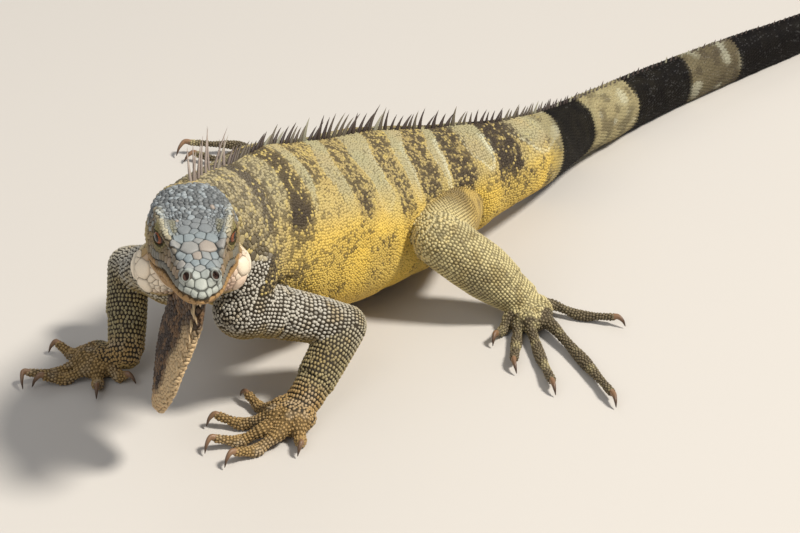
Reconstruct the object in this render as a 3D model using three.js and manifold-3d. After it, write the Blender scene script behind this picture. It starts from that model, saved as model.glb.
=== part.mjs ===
// An adult male green iguana, life size, standing with its forebody raised and its head turned to
// its left.  Millimetres, +Z up, the floor at z = 0, the animal facing -Y, its left side towards +X.
//
// The flesh is made of closed forms swept along curves through named landmarks.  A joint between two
// nodes is a pair of flat faces, or a child cut clear of its parent, with GAP between them.

import * as THREE from 'three';
import { mergeVertices } from 'three/addons/utils/BufferGeometryUtils.js';
import Module from 'manifold-3d';

const wasm = await Module();
wasm.setup();

// ---------------------------------------------------------------- driving dimensions

const GAP = 0.3;                // clear space kept between two nodes
const SOLE_SINK = 0.6;          // how far a pad is pressed to make its flat on the floor

// Head: where the back of the skull meets the neck, and how the head is turned from facing -Y.
const HEAD_BACK = new THREE.Vector3(33.5, -212, 125);
const HEAD_OVERHANG = 8;        // how far the jowls reach behind that point
const HEAD_YAW = THREE.MathUtils.degToRad(47.5);
const HEAD_PITCH = THREE.MathUtils.degToRad(0);     // snout down
const HEAD_ROLL = THREE.MathUtils.degToRad(3);      // crown towards the animal's left

// Trunk and tail: the middle of the body, then its half width, its rise to the ridge of the back
// and its drop to the belly.
const BODY = [
  { name: 'nape', at: [31.5, -211, 122], half: [21, 22, 23] },
  { name: 'neck', at: [23, -192, 114], half: [26, 27, 29] },
  { name: 'withers', at: [12.5, -166, 95], half: [34, 40, 38] },
  { name: 'shoulder', at: [5, -137, 80], half: [41, 49.5, 44] },
  { name: 'chest', at: [-1, -102, 68], half: [46, 49, 49] },
  { name: 'ribs', at: [-5, -68, 58], half: [49, 49, 49] },
  { name: 'flank', at: [-5, -33, 51], half: [49, 49, 45] },
  { name: 'loin', at: [1, 4, 47.5], half: [44, 43.5, 41] },
  { name: 'hips', at: [9, 40, 47], half: [33, 36, 33] },
  { name: 'vent', at: [14, 76, 44], half: [25, 30, 26] },
  { name: 'tail root', at: [10, 122, 36], half: [20, 26, 24] },
  { name: 'tail 1', at: [-1, 182, 26.5], half: [17, 21, 20] },
  { name: 'tail 2', at: [-4, 279, 18.5], half: [14.5, 18.5, 17.5] },
  { name: 'tail 3', at: [9, 396, 15.5], half: [12, 16.5, 16.1] },
  { name: 'tail 4', at: [20, 470, 13.9], half: [10.8, 14.5, 14.5] },
  { name: 'tail 5', at: [26, 570, 11.3], half: [9, 11.5, 11.9] },
  { name: 'tail 6', at: [12, 690, 8.1], half: [6.5, 8.2, 8.5] },
  { name: 'tail 7', at: [-22, 806, 6], half: [4.9, 6.2, 6.4] },
  { name: 'tail 8', at: [-42, 918, 4.3], half: [3.5, 4.5, 4.7] },
  { name: 'tail 9', at: [-34, 1020, 2.8], half: [2.3, 3, 3.2] },
  { name: 'tail tip', at: [-6, 1112, 1.5], half: [1.1, 1.4, 1.8] },
];

// Nodes along the body: from one landmark to another, with the steps and sides of their mesh, and
// how far the flanks swell over the ribs and draw in between them, at every other step.
const LENGTHS = [
  { node: 'neck', from: 'nape', to: 'withers', steps: 5, sides: 18, colour: '#8f8b5a' },
  { node: 'torso_front', from: 'withers', to: 'chest', steps: 6, sides: 18, swell: 0.6,
    colour: '#9c9346' },
  { node: 'torso_middle', from: 'chest', to: 'flank', steps: 6, sides: 18, swell: 0.6,
    colour: '#b5a044' },
  { node: 'torso_rear', from: 'flank', to: 'vent', steps: 8, sides: 18, swell: 0.6,
    colour: '#a39a4c' },
  { node: 'tail_root', from: 'vent', to: 'tail 1', steps: 6, sides: 14, colour: '#8b8a52' },
  { node: 'tail_second', from: 'tail 1', to: 'tail 3', steps: 6, sides: 12, colour: '#6b6a4a' },
  { node: 'tail_third', from: 'tail 3', to: 'tail 5', steps: 7, sides: 10, colour: '#4a463c' },
  { node: 'tail_fourth', from: 'tail 5', to: 'tail 6', steps: 5, sides: 10, colour: '#56513f' },
  { node: 'tail_fifth', from: 'tail 6', to: 'tail 7', steps: 5, sides: 10, colour: '#4a463c' },
  { node: 'tail_sixth', from: 'tail 7', to: 'tail 8', steps: 5, sides: 8, colour: '#56513f' },
  { node: 'tail_end', from: 'tail 8', to: 'tail tip', steps: 6, sides: 8, colour: '#4a463c' },
];

// The crest along the ridge: the height of its spines and the step from one to the next at each
// landmark, as far as the tail's fourth.  Beyond it the keels are too low to count.
const CREST = {
  nape: [19, 4], neck: [24, 4.4], withers: [9, 4.2], shoulder: [11, 4.4], chest: [13, 4.6],
  ribs: [14, 4.6], flank: [14, 4.8], loin: [13, 4.8], hips: [11, 4.8], vent: [9, 5],
  'tail root': [7, 5.6], 'tail 1': [5.4, 6.4], 'tail 2': [4, 8], 'tail 3': [3.2, 9],
  'tail 4': [2.6, 10],
};
const SPINE_ROOT = [1.7, 0.85];     // half length along the back and half thickness at the skin
const SPINE_SINK = 3.2;             // how deep a spine is set in the flesh
const NUCHAL_END = 1.6;             // the number of landmarks that the tall spines of the nape reach
const NUCHAL_LEAN = 0.34;           // how far the first of them leans to the animal's right
const SPINE_CLEAR = 2.6;            // no spine stands closer than this to a joint of the body

// Limbs: the joints from the root outwards, and the half thickness at each.
const ARMS = {
  left: {
    shoulder: [34, -177, 63], elbow: [65, -130, 40], wrist: [69, -168, 14],
    palm: [69, -181, 9],
  },
  right: {
    shoulder: [-12, -182, 68], elbow: [-62, -168, 50], wrist: [-41, -195, 15],
    palm: [-54, -203, 8.5],
  },
};
const LEGS = {
  left: {
    hip: [20, 27, 41], knee: [57, -36, 53], ankle: [93, -7, 15], palm: [105, -8, 8],
  },
  right: {
    hip: [-8, 42, 41], knee: [-70, 15, 46], ankle: [-124, 44, 15], palm: [-136, 49, 8],
  },
};
const ARM_GIRTH = { shoulder: 16.5, middle: 13.5, elbow: 11.5, belly: 11, wrist: 10.2 };
const LEG_GIRTH = { hip: 20, middle: 19.5, knee: 16, calf: 16, ankle: 12 };

// Digits, numbered from the inner one: the knuckle, the end that carries the claw, the claw's tip.
const DIGITS = {
  hand_left: [
    { knuckle: [55, -181, 8], end: [34, -176, 6], tip: [25, -174] },
    { knuckle: [59, -191, 8], end: [37, -203, 7], tip: [33, -210] },
    { knuckle: [66, -200, 8], end: [51, -220, 7], tip: [51, -230] },
    { knuckle: [75, -198, 8], end: [68, -223, 7], tip: [68, -233] },
    { knuckle: [80, -186, 8], end: [88, -194, 6], tip: [91, -201] },
  ],
  hand_right: [
    { knuckle: [-43, -205, 8], end: [-33, -203, 6], tip: [-26, -201] },
    { knuckle: [-46, -212, 8], end: [-37, -221, 6], tip: [-32, -227] },
    { knuckle: [-53, -215, 8], end: [-66, -233, 7], tip: [-70, -241] },
    { knuckle: [-61, -212, 8], end: [-76, -236, 7], tip: [-71, -246] },
    { knuckle: [-67, -202, 8], end: [-86, -204, 7], tip: [-91, -209] },
  ],
  foot_left: [
    { knuckle: [97, -20, 7], end: [101, -38, 6], tip: [104, -46] },
    { knuckle: [103, -19, 7], end: [125, -54, 5.5], tip: [133, -62] },
    { knuckle: [109, -17, 7], end: [155, -60, 5.5], tip: [163, -67] },
    { knuckle: [118, -10, 7], middle: [154, -28, 3.6], end: [188, -50, 5.5], tip: [196, -57] },
    { knuckle: [107, 8, 7], end: [143, 21, 5.5], tip: [152, 22] },
  ],
  foot_right: [
    { knuckle: [-137, 37, 7], end: [-150, 22, 6], tip: [-155, 15] },
    { knuckle: [-144, 41, 7], end: [-180, 20, 5.5], tip: [-187, 12] },
    { knuckle: [-147, 46, 7], end: [-203, 32, 6], tip: [-208, 22] },
    { knuckle: [-148, 52, 7], middle: [-188, 58, 7], end: [-215, 38, 9], tip: [-218, 25] },
    { knuckle: [-134, 61, 7], end: [-162, 84, 5.5], tip: [-170, 88] },
  ],
};
// Half thickness of a digit in the palm, at the knuckle, over its joints and at its end.
const DIGIT_GIRTH = { hand: [4.8, 3.9, 3.2, 2.4], foot: [4.6, 3.6, 2.9, 2.2] };
const JOINT_SWELL = 0.35;           // how much a digit's joints stand out
const CLAW_GIRTH = 1.7;

// In the head's own frame a place is given by how far it is aside of the middle, ahead of
// HEAD_BACK and above the line of the mouth at the snout.
// An eye is a ball in a socket, under lids whose slit has half sizes; it looks forward by an angle.
const EYE = { radius: 6.2, lid: 1.2, aside: 13.6, ahead: 35, up: 11.5, look: 0.2 };
const EYE_SLIT = { out: 6, ahead: 2, half: [5, 4.9, 3.1] };

// The line of the mouth runs round the snout to a reach in degrees to each side, seen from a pivot
// ahead of HEAD_BACK; its corners droop, and the middle of each lip stands clear of it.
const MOUTH = { pivot: 40, reach: 128, steps: 18, sink: 0.5, droop: 6.5, lip: 1.9 };
const NOSTRIL = { ahead: 70.5, aside: 5.8, half: [2.6, 3, 2.6], pit: [1.5, 1.9, 1.6] };
const EAR = { ahead: 1.5, up: -1.5, radius: 5.6, rim: 1, drum: [1.9, 4.8, 4.8] };
// A brow is a long ball that rises and spreads a little, by angles, towards the back.
const BROW = { aside: 14.2, ahead: 36, up: 14.4, half: [4.2, 16, 3.8], slope: 0.1, spread: 0.22 };
const JOWL = { aside: 14, ahead: 7, up: -20.5, half: [15.2, 14, 14.5] };
const JOWL_PLATES = [
  { ahead: 5, up: -22.5, half: [3.6, 8, 8.6] },
  { ahead: 15.6, up: -23.5, half: [3, 4.4, 6.8] },
  { ahead: 23, up: -19.5, half: [2.6, 3.6, 5] },
];
const PLATE_SINK = 0.62;            // share of a plate's half thickness that it is set in the jowl
const CHIN_SPINES = 3;

// ---------------------------------------------------------------- closed forms

const vector = (point) => new THREE.Vector3(...point);

/** A point of a rounded section: x and z lie in the unit disc, and a higher power is squarer. */
function sectionPoint(x, z, half, power) {
  const reach = Math.hypot(x, z);
  if (reach === 0) return [0, 0];
  const bend = 2 / (z >= 0 ? power[0] : power[1]);
  const across = Math.sign(x) * Math.abs(x / reach) ** bend;
  const high = Math.sign(z) * Math.abs(z / reach) ** bend;
  return [reach * half[0] * across, reach * (z >= 0 ? half[1] : half[2]) * high];
}

/** Moves every corner of a geometry to where place(corner) says. */
function reshape(geometry, place) {
  const points = geometry.attributes.position;
  const corner = new THREE.Vector3();
  for (let i = 0; i < points.count; i += 1) {
    corner.copy(place(corner.fromBufferAttribute(points, i).clone()));
    points.setXYZ(i, corner.x, corner.y, corner.z);
  }
  return geometry;
}

/** A curve and a girth that run through the same landmarks, sampled by the landmarks' number. */
class Route {
  constructor(points, halves, upward = new THREE.Vector3(0, 0, 1)) {
    this.last = points.length - 1;
    this.path = new THREE.CatmullRomCurve3(points.map(vector), false, 'centripetal');
    this.girth = new THREE.CatmullRomCurve3(halves.map(vector), false, 'centripetal');
    this.upward = upward;
  }

  frame(station) {
    const share = THREE.MathUtils.clamp(station / this.last, 0, 1);
    const centre = this.path.getPoint(share);
    const along = this.path.getTangent(share);
    const across = along.clone().cross(this.upward).normalize();
    const up = across.clone().cross(along);
    return { centre, along, across, up, half: this.girth.getPoint(share).toArray() };
  }

  /** A closed length of the route with a flat face at each end, drawn in from it by inset. */
  length(from, to, { steps, sides, power = [2, 2], inset = [0, 0], grow = 0, swell = 0 }) {
    const form = new THREE.CylinderGeometry(1, 1, 1, sides, steps);
    return reshape(form, (corner) => {
      const share = corner.y + 0.5;
      const { centre, along, across, up, half } = this.frame(from + (to - from) * share);
      const fat = half.map((size) => size + grow);
      fat[0] += swell * Math.cos(Math.PI * steps * share);
      const [side, high] = sectionPoint(corner.x, corner.z, fat, power);
      const slide = (share < 0.001 ? inset[0] : 0) - (share > 0.999 ? inset[1] : 0);
      return centre.addScaledVector(along, slide).addScaledVector(across, side)
        .addScaledVector(up, high);
    });
  }

  /** A closed length with round ends, as a limb has over its joints. */
  limb({ steps, sides, power = [2, 2], grow = 0 }) {
    const reach = 2;
    const form = new THREE.CapsuleGeometry(1, reach, 2, sides, steps);
    return reshape(form, (corner) => {
      const station = (corner.y / reach + 0.5) * this.last;
      const { centre, along, across, up, half } = this.frame(station);
      const past = corner.y - THREE.MathUtils.clamp(corner.y, -reach / 2, reach / 2);
      const fat = half.map((size) => size + grow);
      const [side, high] = sectionPoint(corner.x, corner.z, fat, power);
      return centre.addScaledVector(along, past * fat[0]).addScaledVector(across, side)
        .addScaledVector(up, high);
    });
  }
}

/** A ball stretched to three half sizes and set at a point. */
function ball(at, half, turn = new THREE.Euler(), rounds = [12, 8]) {
  const form = new THREE.SphereGeometry(1, rounds[0], rounds[1]);
  form.scale(...half);
  form.applyMatrix4(new THREE.Matrix4().makeRotationFromEuler(turn));
  form.translate(...at);
  return form;
}

/** A spine from its root on the skin: it leans towards lean and curls that way to its tip. */
function spine(root, upward, lean, { high, long, thick, curl }) {
  const side = lean.clone().cross(upward).normalize();
  const form = new THREE.ConeGeometry(1, 1, 4, 2);
  return reshape(form, (corner) => {
    const share = corner.y + 0.5;
    const rise = (high + SPINE_SINK) * share - SPINE_SINK;
    return root.clone().addScaledVector(upward, rise)
      .addScaledVector(lean, curl * share ** 2 - corner.z * long)
      .addScaledVector(side, corner.x * thick);
  });
}

/** Seeded draws between -1 and 1, so that each build varies alike. */
let seed = 20260;
function vary(amount = 1) {
  seed = (seed * 16807) % 2147483647;
  return amount * (2 * seed / 2147483647 - 1);
}

// ---------------------------------------------------------------- joining and cutting

function solid(geometry) {
  const bare = geometry.clone();
  bare.deleteAttribute('normal');
  bare.deleteAttribute('uv');
  const merged = mergeVertices(bare, 1e-4);
  const corners = Array.from(merged.index.array);
  const faces = [];
  for (let i = 0; i < corners.length; i += 3) {
    const [a, b, c] = corners.slice(i, i + 3);
    if (a !== b && b !== c && c !== a) faces.push(a, b, c);
  }
  const vertProperties = Float32Array.from(merged.attributes.position.array);
  return new wasm.Manifold(new wasm.Mesh({
    numProp: 3, vertProperties, triVerts: Uint32Array.from(faces),
  }));
}

const join = (geometries) => geometries.map(solid).reduce((whole, piece) => whole.add(piece));

/** The largest closed surface of a solid, as a geometry. */
function outerForm(whole) {
  const largest = whole.decompose().reduce((best, piece) => (
    piece.volume() > best.volume() ? piece : best));
  const mesh = largest.getMesh();
  const geometry = new THREE.BufferGeometry();
  geometry.setAttribute('position', new THREE.BufferAttribute(mesh.vertProperties, 3));
  geometry.setIndex(new THREE.BufferAttribute(mesh.triVerts, 1));
  geometry.computeVertexNormals();
  return geometry;
}

/** Everything under the floor, for cutting the flats of the soles and the tail. */
const underFloor = solid(new THREE.BoxGeometry(3000, 3000, 100).translate(0, 0, -50));

const model = new THREE.Group();
model.name = 'iguana';

function addNode(name, geometry, colour, roughness = 0.7) {
  const material = new THREE.MeshStandardMaterial({ color: colour, roughness, metalness: 0 });
  const mesh = new THREE.Mesh(geometry, material);
  mesh.name = name;
  model.add(mesh);
  return mesh;
}

const headPose = new THREE.Matrix4().makeRotationFromEuler(
  new THREE.Euler(HEAD_PITCH, HEAD_ROLL, HEAD_YAW, 'ZXY')).setPosition(HEAD_BACK);

/** Everything behind the flat back of the head, in the head's own frame. */
const behindHead = new THREE.BoxGeometry(200, 200, 200).translate(0, HEAD_OVERHANG + 100, 0);

/** The space that the head fills, up to its flat back: the neck is cut clear of it. */
const headSpace = solid(new THREE.BoxGeometry(200, 200, 200)
  .translate(0, HEAD_OVERHANG + GAP - 100, 0).applyMatrix4(headPose));

// ---------------------------------------------------------------- trunk and tail

const body = new Route(BODY.map((mark) => mark.at), BODY.map((mark) => mark.half));
const bodyStation = (name) => BODY.findIndex((mark) => mark.name === name);
const CREST_END = bodyStation('tail 4');
const BODY_POWER = [1.85, 2.4];    // the back is a little roofed, the belly a little flat

/** Spine height and step at a station of the body, straight between the landmarks. */
function crestAt(station) {
  const low = Math.floor(station);
  const [here, next] = [low, low + 1].map((index) => CREST[BODY[index].name] ?? [0, 10]);
  return here.map((value, index) => THREE.MathUtils.lerp(value, next[index], station - low));
}

/** The spines of one length, upright on the ridge and curled towards the tail. */
function crestSpines(from, to) {
  const spines = [];
  const span = body.path.getPoint(to / body.last).distanceTo(body.path.getPoint(from / body.last));
  const toStation = (to - from) / span;
  let station = from + SPINE_CLEAR * toStation;
  while (station < to - SPINE_CLEAR * toStation) {
    const [height, step] = crestAt(station);
    const nuchal = station < NUCHAL_END;
    const { centre, along, across, up, half } = body.frame(station);
    const root = centre.addScaledVector(up, half[1] - 0.2);
    const sway = nuchal ? vary(0.14) - NUCHAL_LEAN * (1 - station / NUCHAL_END) : vary(0.05);
    const upward = up.clone().addScaledVector(across, sway).normalize();
    const high = height * (1 + vary(0.12));
    spines.push(spine(root, upward, along, {
      high, long: SPINE_ROOT[0], thick: SPINE_ROOT[1], curl: high * (nuchal ? 0.2 : 0.42),
    }));
    station += step * toStation;
  }
  return spines;
}

for (const { node, from, to, steps, sides, swell, colour } of LENGTHS) {
  const [start, end] = [bodyStation(from), bodyStation(to)];
  const inset = [GAP / 2, to === 'tail tip' ? 0 : GAP / 2];
  const flesh = body.length(start, end, { steps, sides, power: BODY_POWER, inset, swell });
  const spines = start < bodyStation('tail 4') ? crestSpines(start, Math.min(end, CREST_END)) : [];
  let whole = join([flesh, ...spines]).subtract(underFloor);
  if (node === 'neck') whole = whole.subtract(headSpace);
  addNode(node, outerForm(whole), colour);
}

/** The neck, trunk and tail root, fattened by the gap, that limbs and dewlap are cut clear of. */
const trunkClearance = join(LENGTHS.slice(0, 5).map(({ from, to, steps, sides, swell }) => (
  body.length(bodyStation(from), bodyStation(to), {
    steps, sides, power: BODY_POWER, inset: [-GAP, -GAP], grow: GAP, swell,
  }))));

// ---------------------------------------------------------------- head

// Sections of the head from the back to the snout: distance ahead, half width, rise, drop.
const SKULL = [
  [-HEAD_OVERHANG, 17.8, 19, 8], [0, 20.3, 21.5, 9], [12, 21.5, 21.5, 9], [24, 21, 20, 8],
  [36, 18.8, 18, 7], [48, 15.4, 15.8, 5], [58, 13, 13.6, 4.5], [67, 11, 10.6, 4],
  [73.4, 8.3, 7.6, 3], [76.5, 4.6, 4.6, 2],
];
const JAW = [
  [-HEAD_OVERHANG, 18.3, 1, 24], [0, 21.3, 1, 28], [12, 22.8, 1, 29], [24, 22, 1, 26],
  [38, 19, 1, 18.6], [50, 15.6, 1, 13.6], [60, 12.8, 1, 10.4], [68, 10.4, 1, 8],
  [73, 7.6, 0.8, 6], [75.3, 4.2, 0.6, 4],
];

function headRoute(sections) {
  const centres = sections.map(([ahead]) => [0, -ahead, 0]);
  const halves = sections.map(([, ...half]) => half);
  return new Route(centres, halves);
}

function inHead(geometry) {
  return geometry.applyMatrix4(headPose);
}

function skullForm() {
  return headRoute(SKULL).length(0, SKULL.length - 1, { steps: 14, sides: 18, power: [2.7, 2.4] });
}

function jawForm(grow = 0) {
  return headRoute(JAW).length(0, JAW.length - 1, {
    steps: 12, sides: 16, power: [2.2, 2.3], grow,
  });
}

const bareHead = new THREE.Mesh(outerForm(join([skullForm(), jawForm()])),
  new THREE.MeshBasicMaterial({ side: THREE.DoubleSide }));

/** The outermost point of the bare head in a direction from a place on its middle plane. */
function onHead(ahead, up, direction) {
  const outward = direction.clone().normalize();
  const start = new THREE.Vector3(0, -ahead, up).addScaledVector(outward, 100);
  const ray = new THREE.Raycaster(start, outward.clone().negate());
  return ray.intersectObject(bareHead)[0].point;
}

/** The line of the mouth, level at the snout and drooping to its corner, from right to left. */
function mouthPoints(rise) {
  const points = [];
  for (let degree = -MOUTH.reach; degree <= MOUTH.reach; degree += 2 * MOUTH.reach / MOUTH.steps) {
    const turn = THREE.MathUtils.degToRad(degree);
    const droop = MOUTH.droop * THREE.MathUtils.smoothstep(Math.abs(degree), 50, MOUTH.reach);
    const outward = new THREE.Vector3(Math.sin(turn), -Math.cos(turn), 0);
    points.push(onHead(MOUTH.pivot, rise - droop, outward).addScaledVector(outward, -MOUTH.sink));
  }
  return points.map((point) => point.toArray());
}

/** A bead along the mouth, thinning to its two corners. */
function mouthBead(rise, girth) {
  const points = mouthPoints(rise);
  const middle = (points.length - 1) / 2;
  const halves = points.map((point, index) => (
    Array(3).fill(girth * (1 - 0.75 * (Math.abs(index - middle) / middle) ** 3))));
  return new Route(points, halves).length(0, points.length - 1, { steps: MOUTH.steps, sides: 4 });
}

/** A plate on the bulge of a jowl, sunk in it so that its rim meets the skin. */
function jowlPlate(side, { ahead, up, half }) {
  const outward = [(ahead - JOWL.ahead) / JOWL.half[1], (up - JOWL.up) / JOWL.half[2]];
  const level = Math.sqrt(Math.max(1 - outward[0] ** 2 - outward[1] ** 2, 0.1));
  const out = JOWL.aside + JOWL.half[0] * level - half[0] * PLATE_SINK;
  const turn = new THREE.Euler(0, side * -outward[1], side * outward[0], 'YZX');
  return ball([side * out, -ahead, up], half, turn, [10, 6]);
}

function jowlForm(side, grow = 0) {
  return ball([side * JOWL.aside, -JOWL.ahead, JOWL.up], JOWL.half.map((half) => half + grow),
    undefined, [10, 7]);
}

/** The forms that one side of the head is raised by, and those that are sunk in it. */
function headSide(side) {
  const eyeAt = [side * EYE.aside, -EYE.ahead, EYE.up];
  const look = new THREE.Euler(0, 0, side * -EYE.look);
  const nostril = onHead(NOSTRIL.ahead, 0, new THREE.Vector3(side * NOSTRIL.aside, 0, 8));
  const ear = onHead(EAR.ahead, EAR.up, new THREE.Vector3(side, 0, 0));
  const raised = [
    ball(eyeAt, Array(3).fill(EYE.radius + EYE.lid), look, [12, 8]),
    ball([side * BROW.aside, -BROW.ahead, BROW.up], BROW.half,
      new THREE.Euler(BROW.slope, 0, side * -BROW.spread), [7, 8]),
    jowlForm(side),
    ball(nostril.toArray(), NOSTRIL.half, undefined, [8, 6]),
    new THREE.TorusGeometry(EAR.radius, EAR.rim, 4, 12).rotateY(Math.PI / 2)
      .translate(ear.x - side * 0.5, ear.y, ear.z),
    ...JOWL_PLATES.map((plate) => jowlPlate(side, plate)),
  ];
  const sunk = [
    ball(eyeAt, Array(3).fill(EYE.radius + GAP), look, [12, 8]),
    ball([eyeAt[0] + side * EYE_SLIT.out, eyeAt[1] - EYE_SLIT.ahead, eyeAt[2]], EYE_SLIT.half,
      look, [12, 6]),
    ball([nostril.x + side * 1.2, nostril.y - 1, nostril.z + 1.4], NOSTRIL.pit, undefined, [7, 5]),
    ball([ear.x + side * 0.9, ear.y, ear.z], EAR.drum, undefined, [10, 6]),
  ];
  return { raised, sunk };
}

function makeHead() {
  const sides = [-1, 1].map(headSide);
  const pieces = [skullForm(), jawForm(), mouthBead(MOUTH.lip, 1.5), mouthBead(-MOUTH.lip, 1.7),
    ...sides.flatMap(({ raised }) => raised)];
  for (let index = 0; index < CHIN_SPINES; index += 1) {
    const ahead = 62 - index * 5;
    const root = onHead(ahead, -4, new THREE.Vector3(0, 0, -1));
    const upward = new THREE.Vector3(0, -0.35, -1).normalize();
    const backward = new THREE.Vector3(0, 1, -0.35).normalize();
    pieces.push(spine(root, upward, backward, {
      high: 3 + index, long: 1.3, thick: 0.8, curl: 0.6,
    }));
  }
  let whole = join(pieces);
  const cuts = [mouthBead(0, 0.8), ...sides.flatMap(({ sunk }) => sunk)];
  for (const cut of cuts) whole = whole.subtract(solid(cut));
  addNode('head', outerForm(whole.subtract(solid(behindHead))).applyMatrix4(headPose), '#7f8a8a');
}
makeHead();

for (const [side, sign] of [['left', 1], ['right', -1]]) {
  const eye = ball([sign * EYE.aside, -EYE.ahead, EYE.up], Array(3).fill(EYE.radius),
    new THREE.Euler(0, 0, sign * -EYE.look), [12, 8]);
  addNode(`eye_${side}`, outerForm(solid(inHead(eye))), '#b4562a', 0.15);
}

// ---------------------------------------------------------------- dewlap

// Sections from the throat down: distance ahead of HEAD_BACK, sideways, up, half length, half
// thickness.
const DEWLAP = [
  [24, 0, -10, 24, 6], [24, -2.5, -32, 28, 6], [25, -7, -48, 27, 5.8], [27, -11.5, -62, 23, 5.5],
  [28, -14.5, -76, 17, 5.2], [29, -17.5, -88, 8.5, 4],
];

const DEWLAP_TURN = 0.12;           // how far its front edge swings aside for each step ahead
const GULAR_SPINES = 9;

function makeDewlap() {
  const route = new Route(
    DEWLAP.map(([ahead, aside, up]) => [aside, -ahead, up]),
    DEWLAP.map(([, , , long, thick]) => [thick, long, long]),
    new THREE.Vector3(DEWLAP_TURN, -1, 0));
  const pieces = [route.length(0, DEWLAP.length - 1, { steps: 8, sides: 12 })];
  for (let index = 0; index < GULAR_SPINES; index += 1) {
    const station = 0.7 + index * 0.42;
    const { centre, along, up, half } = route.frame(station);
    const root = centre.addScaledVector(up, half[1] - 0.4);
    const high = (index < 5 ? 5.5 : 3.6) * (1 + vary(0.2));
    pieces.push(spine(root, up.clone().addScaledVector(along, 0.35).normalize(), along, {
      high, long: 1.9, thick: 0.9, curl: high * 0.5,
    }));
  }
  const jaws = join([jawForm(GAP), jowlForm(-1, GAP), jowlForm(1, GAP)].map(inHead));
  const clear = join(pieces.map(inHead)).subtract(jaws).subtract(trunkClearance);
  addNode('dewlap', outerForm(clear.subtract(underFloor)), '#7a6a4c');
}
makeDewlap();

// ---------------------------------------------------------------- limbs

function ease(from, to, share) {
  return vector(from).lerp(vector(to), share).toArray();
}

function limbRoute(from, to, girths) {
  const bone = vector(to).sub(vector(from));
  const upward = Math.abs(bone.z) > 0.75 * bone.length()
    ? new THREE.Vector3(0, 1, 0) : new THREE.Vector3(0, 0, 1);
  return new Route([from, ease(from, to, 0.5), to], girths.map((girth) => Array(3).fill(girth)),
    upward);
}

const LIMB_MESH = { steps: 5, sides: 10 };

function makeLimb(side, joints, names, girths, colour) {
  const [root, bend, end] = joints;
  const upper = limbRoute(root, bend, girths.slice(0, 3));
  const lower = limbRoute(bend, end, girths.slice(2, 5));
  const upperSolid = solid(upper.limb(LIMB_MESH)).subtract(trunkClearance);
  const upperClear = solid(upper.limb({ ...LIMB_MESH, grow: GAP }));
  const lowerSolid = solid(lower.limb(LIMB_MESH)).subtract(upperClear).subtract(trunkClearance);
  addNode(`${names[0]}_${side}`, outerForm(upperSolid), colour);
  addNode(`${names[1]}_${side}`, outerForm(lowerSolid), colour);
  return [upperClear, solid(lower.limb({ ...LIMB_MESH, grow: GAP }))];
}

/** A digit from the palm over its knuckle and joints to the flat face that carries the claw. */
function digitRoute(palm, { knuckle, middle, end }, girth) {
  const rest = girth[2] - SOLE_SINK;
  const halfway = middle ?? [...ease(knuckle, end, 0.5).slice(0, 2), rest + 0.5];
  const points = [palm, knuckle, ease(knuckle, halfway, 0.5), halfway, ease(halfway, end, 0.55), end];
  const halves = [girth[0], girth[1], girth[2] - JOINT_SWELL, girth[2] + JOINT_SWELL,
    (girth[2] + girth[3]) / 2 - JOINT_SWELL, girth[3]];
  return new Route(points, halves.map((half) => Array(3).fill(half)));
}

function makeClaw(name, digit, route) {
  const { centre, along } = route.frame(route.last);
  const root = centre.clone().addScaledVector(along, GAP);
  const tip = new THREE.Vector3(digit.tip[0], digit.tip[1], 0.6);
  const crown = root.clone().addScaledVector(along, root.distanceTo(tip) * 0.45);
  const arc = new THREE.QuadraticBezierCurve3(root, crown, tip);
  const upward = new THREE.Vector3(0, 0, 1);
  const form = new THREE.CylinderGeometry(1, 1, 1, 5, 3);
  const claw = reshape(form, (corner) => {
    const share = corner.y + 0.5;
    const forward = arc.getTangent(share);
    const across = forward.clone().cross(upward).normalize();
    const up = across.clone().cross(forward);
    const half = CLAW_GIRTH * (1 - 0.82 * share ** 1.4);
    return arc.getPoint(share).addScaledVector(across, corner.x * half * 0.8)
      .addScaledVector(up, corner.z * half);
  });
  addNode(name, outerForm(solid(claw).subtract(underFloor)), '#3b342c', 0.4);
}

function makeExtremity(kind, side, palmAt, half, clearances, colour) {
  const digits = DIGITS[`${kind}_${side}`];
  const girth = DIGIT_GIRTH[kind];
  const pointing = vector(digits[2].knuckle).sub(vector(palmAt));
  const turn = new THREE.Euler(0, 0, Math.atan2(pointing.y, pointing.x));
  const depth = palmAt[2] + SOLE_SINK;
  const pieces = [ball(palmAt, [...half, depth], turn, [10, 7])];
  digits.forEach((digit, index) => {
    const route = digitRoute(palmAt, digit, girth);
    pieces.push(route.length(0, route.last, { steps: 7, sides: 6 }));
    makeClaw(`claw_${kind}_${side}_${index + 1}`, digit, route);
  });
  let whole = join(pieces).subtract(underFloor);
  for (const clearance of clearances) whole = whole.subtract(clearance);
  addNode(`${kind}_${side}`, outerForm(whole), colour);
}

for (const side of ['left', 'right']) {
  const arm = ARMS[side];
  const armClear = makeLimb(side, [arm.shoulder, arm.elbow, arm.wrist], ['upper_arm', 'forearm'],
    Object.values(ARM_GIRTH), '#5d5847');
  makeExtremity('hand', side, arm.palm, [15, 14], armClear, '#6f6a49');
  const leg = LEGS[side];
  const legClear = makeLimb(side, [leg.hip, leg.knee, leg.ankle], ['thigh', 'shank'],
    Object.values(LEG_GIRTH), '#7e7a47');
  makeExtremity('foot', side, leg.palm, [17, 12], legClear, '#6f6a49');
}

// ---------------------------------------------------------------- place

// The origin is under the middle of the whole animal, on the floor.
const box = new THREE.Box3().setFromObject(model);
model.position.set(-(box.min.x + box.max.x) / 2, -(box.min.y + box.max.y) / 2, 0);

export default model;
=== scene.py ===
"""A life-size adult male green iguana: its skin, scales, plates, crest, eyes and claws.

Shapes are worked out in millimetres in the animal's own frame: +Z up, the floor at z = 0, the
animal facing -Y and its left side towards +X.  A finished mesh is carried from there to the part's
frame, in metres, by to_part.
"""
import itertools
import math
import random

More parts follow.
